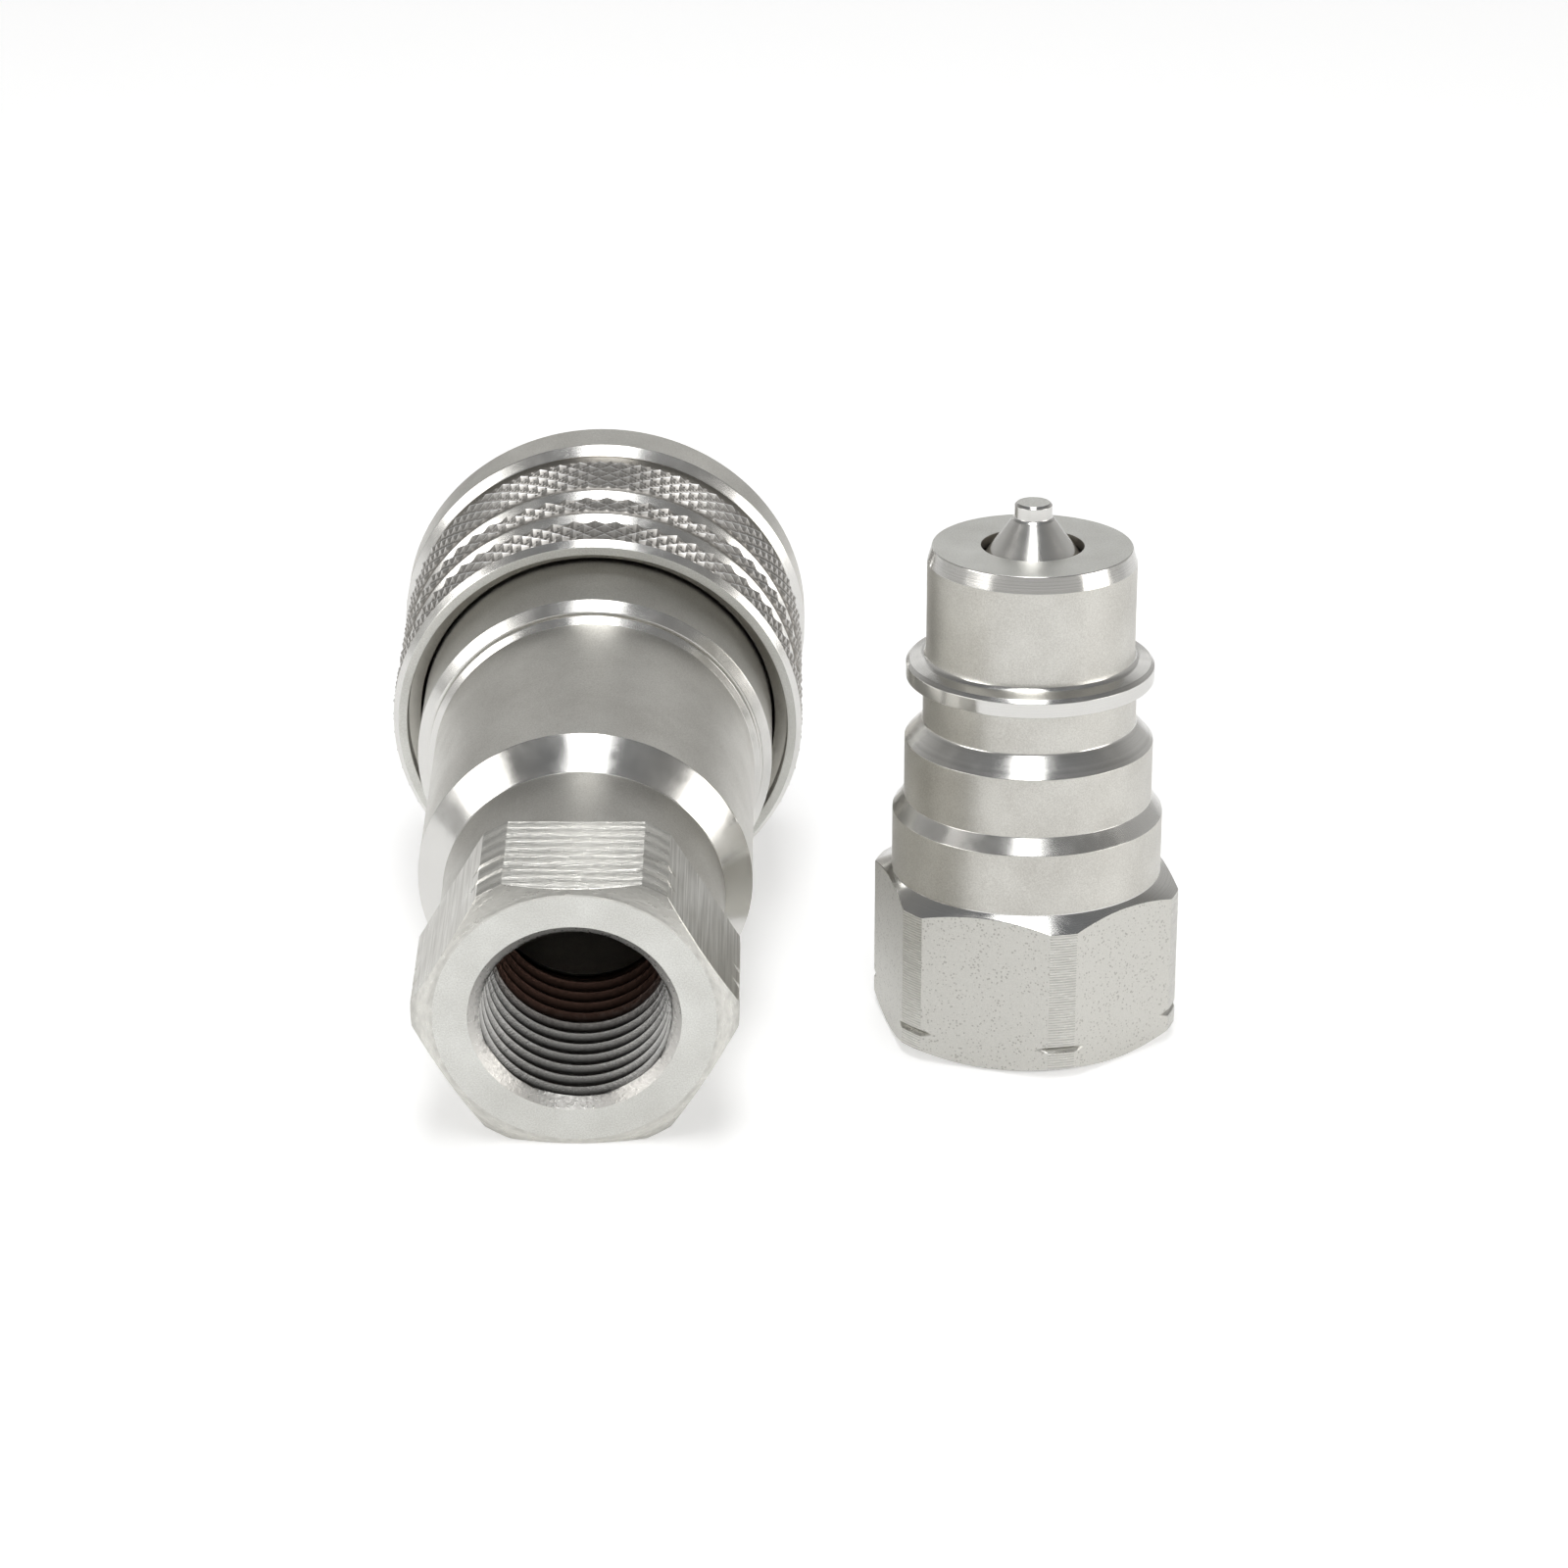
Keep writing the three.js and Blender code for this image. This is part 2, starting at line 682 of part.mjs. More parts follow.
function stopRing() {
  const inner = cageRadius - stopRingDepth + grooveSideGap;
  const outer = recessRadius - stopRingClearance;
  return splitRing(inner, outer, stopRingRear, stopRingFront);
}

function sleeveSpring() {
  const meanRadius = (cageRadius + sleeveBoreRadius) / 2;
  return spring(meanRadius, sleeveSpringWire, sleeveSpringTurns, springSeat, landRear);
}

function lockingBalls() {
  const balls = [];
  for (let i = 0; i < ballCount; i++) {
    const ball = piece(
      `locking_ball_${i + 1}`,
      new THREE.IcosahedronGeometry(ballRadius, 1),
      ballSteel,
    );
    const angle = ballAngle(i);
    ball.position.set(
      ballLockedRadius * Math.cos(angle),
      ballLockedRadius * Math.sin(angle),
      ballStation,
    );
    ball.rotation.z = angle;
    balls.push(ball);
  }
  return balls;
}

function socketHalf() {
  const backupFront = sealGrooveFront - grooveSideGap;
  const backupRear = backupFront - backupThickness;
  const noseSealStation = sealGrooveRear + grooveSideGap + noseSealSection;
  const jointSealRadius = spigotRadius - jointSealSection + jointSealSqueeze;
  const noseSealRadius = noseRadius + noseSealSection - noseSealSqueeze;
  const backupInner = noseBoreRadius + backupFit;
  const backupOuter = sealGrooveRadius - grooveSideGap;
  const half = new THREE.Group();
  half.add(
    piece("socket_adaptor", socketAdaptor(), turnedSteel),
    piece("socket_body", socketBody(), turnedSteel),
    piece("locking_sleeve", lockingSleeve(), knurledSteel),
    piece("sleeve_stop_ring", stopRing(), springSteel),
    piece("sleeve_spring", sleeveSpring(), springSteel),
    piece(
      "joint_seal",
      roundRing(jointSealRadius, jointSealSection, jointGrooveCentre),
      blackRubber,
    ),
    piece(
      "nose_seal",
      roundRing(noseSealRadius, noseSealSection, noseSealStation),
      blackRubber,
    ),
    piece(
      "nose_backup_ring",
      flatRing(backupInner, backupOuter, backupRear, backupFront),
      whiteSealant,
    ),
    piece("socket_poppet", poppet(seatFace), polishedSteel),
    piece("socket_poppet_seal", poppetSeal(seatFace), blackRubber),
    piece("socket_valve_spring", valveSpring(seatFace), springSteel),
    piece("socket_stem_guide", stemGuide(seatFace), polishedSteel),
    piece("socket_guide_ring", guideRing(seatFace), springSteel),
    ...lockingBalls(),
  );
  return half;
}

// ---------------------------------------------------------------------------------------
// The set: the socket tips onto its sleeve, and the plug stands upright
// ---------------------------------------------------------------------------------------

const socket = socketHalf();
socket.rotation.x = restPitch - Math.PI / 2;
socket.position.z = hexFaceHeight;

const plug = plugHalf();
plug.rotation.z = plugTurn;
plug.position.set(plugSide, plugAhead, 0);

const coupler = new THREE.Group();
coupler.add(socket, plug);
coupler.updateMatrixWorld(true);
const box = new THREE.Box3().setFromObject(coupler, true);
const centre = box.getCenter(new THREE.Vector3());
coupler.position.set(-centre.x, -centre.y, -box.min.z);

export default coupler;
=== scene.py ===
import json
import math

import bmesh
import bpy
import numpy as np
from mathutils import Euler, Matrix, Vector


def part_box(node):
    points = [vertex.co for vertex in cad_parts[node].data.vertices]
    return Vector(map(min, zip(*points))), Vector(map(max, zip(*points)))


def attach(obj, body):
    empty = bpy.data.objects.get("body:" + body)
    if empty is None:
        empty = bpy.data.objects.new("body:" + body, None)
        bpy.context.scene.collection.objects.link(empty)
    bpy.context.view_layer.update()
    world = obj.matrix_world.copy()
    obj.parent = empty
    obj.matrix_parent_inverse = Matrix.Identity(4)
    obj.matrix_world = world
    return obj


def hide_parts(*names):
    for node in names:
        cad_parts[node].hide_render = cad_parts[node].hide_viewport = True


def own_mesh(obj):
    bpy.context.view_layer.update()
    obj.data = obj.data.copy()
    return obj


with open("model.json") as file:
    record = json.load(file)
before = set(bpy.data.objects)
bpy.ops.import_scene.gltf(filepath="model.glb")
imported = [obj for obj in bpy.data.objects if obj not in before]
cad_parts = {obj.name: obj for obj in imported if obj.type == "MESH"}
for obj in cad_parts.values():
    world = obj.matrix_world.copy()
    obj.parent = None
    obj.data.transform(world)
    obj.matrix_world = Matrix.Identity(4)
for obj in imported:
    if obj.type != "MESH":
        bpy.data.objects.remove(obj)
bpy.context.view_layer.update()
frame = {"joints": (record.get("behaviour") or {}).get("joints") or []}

bl_info = {
    "name": "Quick disconnect coupler",
    "version": (1, 0, 0),
    "blender": (4, 5, 0),
    "location": "3D View > Sidebar > Coupler",
    "description": "Detailed turned, knurled and polished pieces round the coupler's CAD frame",
    "category": "Object",
}

MM = 0.001

# ---------------------------------------------------------------------------------------
# Where the two halves stand, from the frame
# ---------------------------------------------------------------------------------------

BALLS = [f"locking_ball_{k}" for k in range(1, 9)]
BALL_STATION = 77.0024  # from the hexagon's end face, millimetres
BALL_RADIUS = 2.38
BALL_CENTRE_RADIUS = 12.95


def joint_named(name):
    return next(j for j in frame["joints"] if j["name"] == name)


def box_centre(node):
    low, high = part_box(node)
    return (low + high) / 2


SOCKET_AXIS = -Vector(joint_named("sleeve_slide")["axis"]).normalized()
SOCKET_PITCH = math.atan2(SOCKET_AXIS.z, SOCKET_AXIS.y)
SOCKET_TURN = Euler((SOCKET_PITCH - math.pi / 2, 0, 0))
BALL_MIDDLE = sum((box_centre(name) for name in BALLS), Vector()) / len(BALLS)
SOCKET_ORIGIN = BALL_MIDDLE - SOCKET_AXIS * BALL_STATION * MM
PLUG_TURN = Euler((0, 0, math.radians(-18.9)))
PLUG_MIDDLE = box_centre("plug_poppet")
PLUG_ORIGIN = Vector((PLUG_MIDDLE.x, PLUG_MIDDLE.y, 0))


def placing(origin, turn):
    return Matrix.Translation(origin) @ turn.to_matrix().to_4x4() @ Matrix.Scale(MM, 4)


SOCKET_PLACE = placing(SOCKET_ORIGIN, SOCKET_TURN)
PLUG_PLACE = placing(PLUG_ORIGIN, PLUG_TURN)


def plug_heights(node):
    low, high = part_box(node)
    return low.z / MM, high.z / MM


# Stations along each half's own axis, millimetres
PLUG_FACE = plug_heights("plug_body")[1]
SEAT_FACE = 60.8
STEM_END, TIP_TOP = (h - PLUG_FACE for h in plug_heights("plug_poppet"))
GUIDE_BACK, GUIDE_FRONT = (h - PLUG_FACE for h in plug_heights("plug_stem_guide"))
RING_BACK, RING_FRONT = (h - PLUG_FACE for h in plug_heights("plug_guide_ring"))
SEAL_LOW, SEAL_HIGH = (h - PLUG_FACE for h in plug_heights("plug_poppet_seal"))
SPRING_LOW, SPRING_HIGH = (h - PLUG_FACE for h in plug_heights("plug_valve_spring"))

# Radii shared by the pieces, millimetres
BAR_RADIUS = 15.5
HEX_FACE_RADIUS = 13.55
HEX_SLOPE = math.tan(math.radians(30))
ORIFICE_RADIUS = 5.05
SEAT_LAND = 0.9
SEAT_DEPTH = SEAT_LAND + 3.25
SEAT_CONE_AT_FACE = 4.85 - SEAT_LAND  # the poppet's 45 degree cone, carried on to the face
NOSE_CONE_AT_FACE = 4.05
NOSE_CONE_SLOPE = 0.716
CHAMBER_RADIUS = 8.3
GUIDE_BORE_RADIUS = 9.0
GUIDE_GROOVE_RADIUS = 9.75
SPIGOT_RADIUS = 14.0
STEM_RADIUS = 2.2
CAGE_RADIUS = 15.0
BODY_RADIUS = 18.41
KNURL_RADIUS = 21.7
SLEEVE_REAR = 58.4724
SLEEVE_FRONT = 86.3224

# ---------------------------------------------------------------------------------------
# What a user may change
# ---------------------------------------------------------------------------------------


class CouplerSizes(bpy.types.PropertyGroup):
    across_flats: bpy.props.FloatProperty(
        name="Across flats", description="Width of both hexagons over their flats",
        default=28.1 * MM, unit="LENGTH")
    notch_depth: bpy.props.FloatProperty(
        name="Corner notch", description="Depth of the notches round the hexagon corners",
        default=0.45 * MM, unit="LENGTH")
    thread_pitch: bpy.props.FloatProperty(
        name="Thread pitch", description="Pitch of the pipe thread in both ports",
        default=1.814 * MM, unit="LENGTH")
    thread_height: bpy.props.FloatProperty(
        name="Thread height", description="Radial height of the pipe thread",
        default=1.15 * MM, unit="LENGTH")
    knurl_count: bpy.props.IntProperty(
        name="Knurl diamonds", description="Diamonds once round the sleeve",
        default=62, min=12, max=90)
    knurl_row: bpy.props.FloatProperty(
        name="Knurl row", description="Distance between staggered rows of diamonds",
        default=1.07 * MM, unit="LENGTH")
    knurl_depth: bpy.props.FloatProperty(
        name="Knurl depth", description="Depth of the valleys between the diamonds",
        default=0.46 * MM, unit="LENGTH")
    spring_sides: bpy.props.IntProperty(
        name="Spring wire sides", description="Sides of the round spring wire",
        default=14, min=6, max=32)


class CouplerFinish(bpy.types.PropertyGroup):
    plate: bpy.props.FloatVectorProperty(
        name="Plated steel", description="Colour of the satin plated surfaces",
        subtype="COLOR", size=3, min=0, max=1, default=(0.655, 0.647, 0.61))
    polish: bpy.props.FloatVectorProperty(
        name="Polished steel", description="Colour of the bright turned surfaces",
        subtype="COLOR", size=3, min=0, max=1, default=(0.75, 0.743, 0.72))
    spring: bpy.props.FloatVectorProperty(
        name="Spring wire", description="Colour of the spring wire and snap rings",
        subtype="COLOR", size=3, min=0, max=1, default=(0.30, 0.31, 0.32))
    # Thread tint: the thread's brown colour deep in the port together with painted shade deep in
    # the bore.
    thread_tint_and_shade: bpy.props.FloatVectorProperty(
        name="Thread tint", description="Warm tint of the bare bore behind the thread",
        subtype="COLOR", size=3, min=0, max=1, default=(0.10, 0.058, 0.045))
    rubber: bpy.props.FloatVectorProperty(
        name="Seal rubber", description="Colour of the O-rings",
        subtype="COLOR", size=3, min=0, max=1, default=(0.012, 0.012, 0.014))
    backup: bpy.props.FloatVectorProperty(
        name="Backup ring", description="Colour of the white backup ring",
        subtype="COLOR", size=3, min=0, max=1, default=(0.80, 0.79, 0.74))


class CouplerStage(bpy.types.PropertyGroup):
    floor: bpy.props.FloatVectorProperty(
        name="Floor", description="Colour of the floor",
        subtype="COLOR", size=3, min=0, max=1, default=(0.87, 0.87, 0.87))
    floor_reach: bpy.props.FloatProperty(
        name="Floor reach", description="Radius of the floor disc",
        default=5.0, unit="LENGTH")
    camera_height: bpy.props.FloatProperty(
        name="Camera elevation", description="Angle of the camera above the floor",
        default=math.radians(21.49), subtype="ANGLE")
    camera_distance: bpy.props.FloatProperty(
        name="Camera distance", description="From the camera to the point it looks at",
        default=0.5082, unit="LENGTH")
    lens: bpy.props.FloatProperty(
        name="Lens", description="Focal length in millimetres on a 36 mm sensor",
        default=101.25)
    light: bpy.props.FloatProperty(
        name="Light", description="Strength of all the lamps together",
        default=1.0, subtype="FACTOR")


# ---------------------------------------------------------------------------------------
# Materials
# ---------------------------------------------------------------------------------------


FACING_RUN = 1.37  # how fast lathe lines change along a radius, against along the axis


class Shading:
    """Builds one material's nodes, with coordinates in a half's own millimetre frame."""

    def __init__(self, name, half):
        self.material = bpy.data.materials.new(name)
        self.material.use_nodes = True
        self.tree = self.material.node_tree
        self.shader = self.tree.nodes["Principled BSDF"]
        origin, turn = half
        coordinates = self.tree.nodes.new("ShaderNodeTexCoord")
        mapping = self.tree.nodes.new("ShaderNodeMapping")
        mapping.vector_type = "TEXTURE"
        mapping.inputs["Location"].default_value = origin
        mapping.inputs["Rotation"].default_value = turn
        mapping.inputs["Scale"].default_value = (MM, MM, MM)
        self.link(coordinates.outputs["Object"], mapping.inputs["Vector"])
        self.local = mapping.outputs["Vector"]

    def link(self, output, target):
        self.tree.links.new(output, target)

    def feed(self, socket, value):
        """Links another node's output to the socket, or sets a number or colour on it."""
        if isinstance(value, bpy.types.NodeSocket):
            self.link(value, socket)
        else:
            socket.default_value = value

    def node(self, kind, **inputs):
        made = self.tree.nodes.new(kind)
        for name, value in inputs.items():
            self.feed(made.inputs[name.replace("_", " ")], value)
        return made

    def math(self, operation, a, b=0.0):
        made = self.tree.nodes.new("ShaderNodeMath")
        made.operation = operation
        for socket, value in zip(made.inputs, (a, b)):
            self.feed(socket, value)
        return made.outputs[0]

    def stretched(self, scale):
        made = self.tree.nodes.new("ShaderNodeVectorMath")
        made.operation = "MULTIPLY"
        self.link(self.local, made.inputs[0])
        made.inputs[1].default_value = scale
        return made.outputs[0]

    def noise(self, scale, detail=2.0, roughness=0.55, vector=None):
        made = self.node(
            "ShaderNodeTexNoise", Vector=vector or self.local, Scale=scale,
            Detail=detail, Roughness=roughness)
        return made.outputs["Fac"]

    def radius_and_station(self):
        parts = self.node("ShaderNodeSeparateXYZ", Vector=self.local)
        across = self.math("MULTIPLY", parts.outputs[0], parts.outputs[0])
        down = self.math("MULTIPLY", parts.outputs[1], parts.outputs[1])
        radius = self.math("SQRT", self.math("ADD", across, down))
        return radius, parts.outputs[2]

    def lathe_lines(self, per_mm, detail=3.0):
        radius, station = self.radius_and_station()
        run = self.math("ADD", station, self.math("MULTIPLY", radius, FACING_RUN))
        made = self.tree.nodes.new("ShaderNodeTexNoise")
        made.noise_dimensions = "1D"
        self.link(run, made.inputs["W"])
        made.inputs["Scale"].default_value = per_mm
        made.inputs["Detail"].default_value = detail
        return made.outputs["Fac"]

    def between(self, value, low, high, out_low, out_high):
        made = self.node(
            "ShaderNodeMapRange", Value=value, From_Min=low, From_Max=high,
            To_Min=out_low, To_Max=out_high)
        return made.outputs["Result"]

    def blend_colours(self, share, first, second):
        made = self.tree.nodes.new("ShaderNodeMix")
        made.data_type = "RGBA"
        self.link(share, made.inputs[0])
        for socket, value in ((made.inputs[6], first), (made.inputs[7], second)):
            self.feed(socket, (*value, 1.0) if isinstance(value, tuple) else value)
        return made.outputs[2]

    def bump(self, height, strength, distance, after=None):
        made = self.node(
            "ShaderNodeBump", Height=height, Strength=strength, Distance=distance)
        if after is not None:
            self.link(after, made.inputs["Normal"])
        return made.outputs["Normal"]

    def metal(self, colour, roughness, normal=None):
        self.shader.inputs["Metallic"].default_value = 1.0
        self.link(colour, self.shader.inputs["Base Color"])
        self.link(roughness, self.shader.inputs["Roughness"])
        if normal is not None:
            self.link(normal, self.shader.inputs["Normal"])
        return self.material


def shade_of(colour, factor, warm=0.0):
    red, green, blue = colour
    return (
        min(1, red * factor * (1 + warm)),
        min(1, green * factor),
        min(1, blue * factor * (1 - warm)),
    )


def satin_plate(name, half, colour, rough=(0.30, 0.42), grain=0.35, lines=0.25):
    s = Shading(name, half)
    blotch = s.noise(0.16, 3.0)
    fine = s.noise(6.5, 3.0, 0.75)
    tone = s.math("ADD", s.math("MULTIPLY", blotch, 0.35), s.math("MULTIPLY", fine, 0.65))
    mixed = s.blend_colours(
        s.between(tone, 0.35, 0.65, 0, 1),
        shade_of(colour, 0.82, 0.018), shade_of(colour, 1.16))
    roughness = s.between(tone, 0.3, 0.7, rough[1], rough[0])
    speckle = s.noise(3.2, 4.0, 0.8)
    normal = s.bump(fine, grain, 0.00004)
    normal = s.bump(speckle, grain, 0.00004, normal)
    normal = s.bump(s.lathe_lines(9.0), lines, 0.00002, normal)
    return s.metal(mixed, roughness, normal)


def polished(name, half, colour, rough=(0.13, 0.24), lines=0.16):
    s = Shading(name, half)
    turning = s.lathe_lines(14.0, 4.0)
    smear = s.noise(0.35, 3.0)
    mixed = s.blend_colours(
        s.between(turning, 0.3, 0.7, 0, 1), shade_of(colour, 0.94), shade_of(colour, 1.06))
    roughness = s.between(smear, 0.35, 0.65, rough[0], rough[1])
    normal = s.bump(turning, lines, 0.00001)
    return s.metal(mixed, roughness, normal)


def milled(name, half, colour, scale, rough, height, depth=0.86):
    """Milling lines: noise drawn out along the direction in which scale is small."""
    s = Shading(name, half)
    lines = s.noise(1.0, 3.0, 0.6, s.stretched(scale))
    blotch = s.noise(0.3, 2.0)
    mixed = s.blend_colours(
        s.between(lines, 0.35, 0.65, 0, 1),
        shade_of(colour, depth, 0.01), shade_of(colour, 1.1))
    roughness = s.between(s.math("ADD", lines, blotch), 0.7, 1.3, rough[1], rough[0])
    normal = s.bump(lines, 0.6, height)
    return s.metal(mixed, roughness, normal)


def waves(name, half, colour, pitch, rough, height, wander):
    """Regular cutter lines across the axis, their spacing and depth wandering a little."""
    s = Shading(name, half)
    _, station = s.radius_and_station()
    drift = s.noise(1.0, 2.0, 0.5, s.stretched((0.18, 0.18, 0.9)))
    fray = s.noise(1.0, 3.0, 0.6, s.stretched((0.8, 0.8, 5.0)))
    turn = s.math("ADD", station, s.math("MULTIPLY", drift, wander))
    wave = s.math("SINE", s.math("MULTIPLY", turn, 2 * math.pi / pitch))
    lines = s.math("ADD", s.math("MULTIPLY", wave, 0.25), fray)
    mixed = s.blend_colours(
        s.between(lines, 0.25, 0.80, 0, 1), shade_of(colour, 0.80), shade_of(colour, 1.14))
    roughness = s.between(fray, 0.35, 0.65, rough[1], rough[0])
    normal = s.bump(lines, 0.8, height)
    return s.metal(mixed, roughness, normal)


def pitted(name, half, colour):
    """Blasted bar stock: fine grain with scattered small pits."""
    s = Shading(name, half)
    grain = s.noise(7.0, 3.0, 0.7)
    spread = s.noise(1.1, 2.0)
    cells = s.node("ShaderNodeTexVoronoi", Vector=s.local, Scale=2.9, Randomness=1.0)
    size = s.between(spread, 0.35, 0.65, 0.12, 0.34)
    pit = s.math("LESS_THAN", cells.outputs["Distance"], size)
    mixed = s.blend_colours(
        s.between(grain, 0.3, 0.7, 0, 1), shade_of(colour, 0.93), shade_of(colour, 1.05))
    mixed = s.blend_colours(pit, mixed, shade_of(colour, 0.70, 0.01))
    roughness = s.between(grain, 0.3, 0.7, 0.46, 0.34)
    normal = s.bump(grain, 0.35, 0.00002)
    normal = s.bump(s.math("SUBTRACT", 1.0, pit), 0.35, 0.00003, normal)
    return s.metal(mixed, roughness, normal)


# Knurled steel with painted light: painted shade in the valleys, painted highlights along the rows
# of diamond tips.
def knurl_steel_and_painted_light(name, half, colour):
    s = Shading(name, half)
    radius, _ = s.radius_and_station()
    height = s.between(radius, KNURL_RADIUS - 0.48, KNURL_RADIUS - 0.05, 0, 1)
    # The crest attribute marks where the painted highlight goes.
    crest = s.tree.nodes.new("ShaderNodeAttribute")
    crest.attribute_name = "crest"
    edge = s.between(crest.outputs["Fac"], 0.55, 0.95, 0, 1)
    fine = s.noise(3.0, 3.0)
    # Painted shade: the valleys take the colour at 0.30, the tips at 0.86.
    body = s.blend_colours(height, shade_of(colour, 0.30, 0.05), shade_of(colour, 0.86, 0.02))
    # Painted highlight: the colour is lifted to 1.45 along the rows of tips.
    mixed = s.blend_colours(edge, body, shade_of(colour, 1.45))
    roughness = s.between(s.math("ADD", height, fine), 0.4, 1.6, 0.52, 0.36)
    normal = s.bump(fine, 0.25, 0.00002)
    return s.metal(mixed, roughness, normal)


def thread_steel_and_painted_shade(name, half, colour, tint):
    s = Shading(name, half)
    radius, station = s.radius_and_station()
    fine = s.noise(2.6, 4.0, 0.65)
    depth = s.math("ADD", station, s.math("MULTIPLY", fine, 1.6))
    inside = s.between(depth, 1.4, 2.2, 0, 1)
    level = s.math("ADD", radius, s.math("MULTIPLY", station, THREAD_TAPER))
    in_root = s.between(level, THREAD_CREST + 0.05, THREAD_CREST + 0.60, 0, 1)
    # Painted shade: the thread's roots take the colour at 0.06, except near the mouth, which takes
    # a pale colour.
    plated = s.blend_colours(in_root, shade_of(colour, 0.92), shade_of(colour, 0.06, 0.03))
    # Deeper in the port the thread takes the dark warm tint, a quarter as bright in the roots: its
    # brown colour plus painted shade deep in the bore.
    bare = s.blend_colours(in_root, tint, shade_of(tint, 0.25))
    mixed = s.blend_colours(s.between(depth, 13.0, 15.5, 0, 1), plated, bare)
    mixed = s.blend_colours(inside, shade_of(colour, 1.15, 0.01), mixed)
    glint = s.between(fine, 0.35, 0.65, 0.12, 0.26)
    roughness = s.math("ADD", glint, s.between(inside, 0, 1, 0.14, 0.0))
    normal = s.bump(fine, 0.8, 0.00009)
    return s.metal(mixed, roughness, normal)


def rubber_finish(name, half, colour):
    s = Shading(name, half)
    fine = s.noise(4.0, 3.0)
    mixed = s.blend_colours(fine, shade_of(colour, 0.7), shade_of(colour, 1.5))
    s.link(mixed, s.shader.inputs["Base Color"])
    s.link(s.between(fine, 0.3, 0.7, 0.42, 0.6), s.shader.inputs["Roughness"])
    s.link(s.bump(fine, 0.2, 0.00003), s.shader.inputs["Normal"])
    return s.material


SOCKET_HALF = (SOCKET_ORIGIN, SOCKET_TURN)
PLUG_HALF = (PLUG_ORIGIN, PLUG_TURN)
FINISHES = {}


def finish_set(context):
    """Every finish of both halves, made once."""
    if FINISHES:
        return FINISHES
    c = context.scene.coupler_finish
    plate, bright = tuple(c.plate), tuple(c.polish)
    for side, half in (("socket", SOCKET_HALF), ("plug", PLUG_HALF)):
        made = {
            "plate": satin_plate(f"{side}_plated_steel", half, plate),
            "dull": satin_plate(
                f"{side}_dull_plate", half, shade_of(plate, 0.86), (0.34, 0.48), 0.5, 0.15),
            "face": satin_plate(
                f"{side}_faced_end", half, shade_of(plate, 1.14, -0.02), (0.40, 0.50), 0.15, 0.25),
            "polish": polished(f"{side}_polished_steel", half, bright),
            "mirror": polished(
                f"{side}_mirror_steel", half, shade_of(bright, 1.04), (0.17, 0.27), 0.16),
            # Painted shade: bores, grooves and the faces under steps take the plate at half its
            # brightness, a little warmer.
            "bore": satin_plate(
                f"{side}_bore_painted_shade", half, shade_of(plate, 0.5, 0.05), (0.30, 0.45), 0.3, 0.3),
            "flat_long": milled(
                f"{side}_flat_long", half, plate, (3.2, 3.2, 0.12), (0.26, 0.40), 0.00005),
            # Painted shade: a darker copy of the milled flat, for the socket's two flats on its
            # right-hand side.
            "flat_painted_shade": milled(
                f"{side}_flat_painted_shade", half, shade_of(plate, 0.80), (3.8, 3.8, 0.10),
                (0.30, 0.44), 0.00005, 0.72),
            "flat_cross": waves(
                f"{side}_flat_cross", half, shade_of(plate, 1.10), 1.35, (0.26, 0.44),
                0.00016, 0.9),
            "flat_pitted": pitted(f"{side}_flat_pitted", half, plate),
            "strip": waves(
                f"{side}_corner_strip", half, plate, 0.27 if side == "plug" else 1.9,
                (0.26, 0.38), 0.00005 if side == "plug" else 0.00008, 0.1),
            # Painted reflection: the fillet between the front knurled band and the front ring
            # takes the plate at 0.45, warmer, for the dark it reflects.
            "fillet": satin_plate(
                f"{side}_fillet", half, shade_of(plate, 0.45, 0.05), (0.24, 0.36), 0.3, 0.3),
            "thread": thread_steel_and_painted_shade(
                f"{side}_thread", half, shade_of(bright, 0.8), tuple(c.thread_tint_and_shade)),
            "spring": polished(f"{side}_spring_wire", half, tuple(c.spring), (0.22, 0.38)),
            "rubber": rubber_finish(f"{side}_rubber", half, tuple(c.rubber)),
            "backup": rubber_finish(f"{side}_backup_ring", half, tuple(c.backup)),
        }
        FINISHES[side] = made
    FINISHES["socket"]["knurl"] = knurl_steel_and_painted_light("socket_knurled_steel", SOCKET_HALF, bright)
    return FINISHES


# ---------------------------------------------------------------------------------------
# Turned shapes: rows of (radius, height) round the local +Z axis
# ---------------------------------------------------------------------------------------

ARC_STEPS = 3
EDGE_SHARE = 0.42  # the most of a side that one rounding may take
NEARLY_STRAIGHT = math.radians(89)  # half the angle between two sides that need no rounding
HOLD = 0.1  # keeps the shading of long faces flat next to a rounded edge


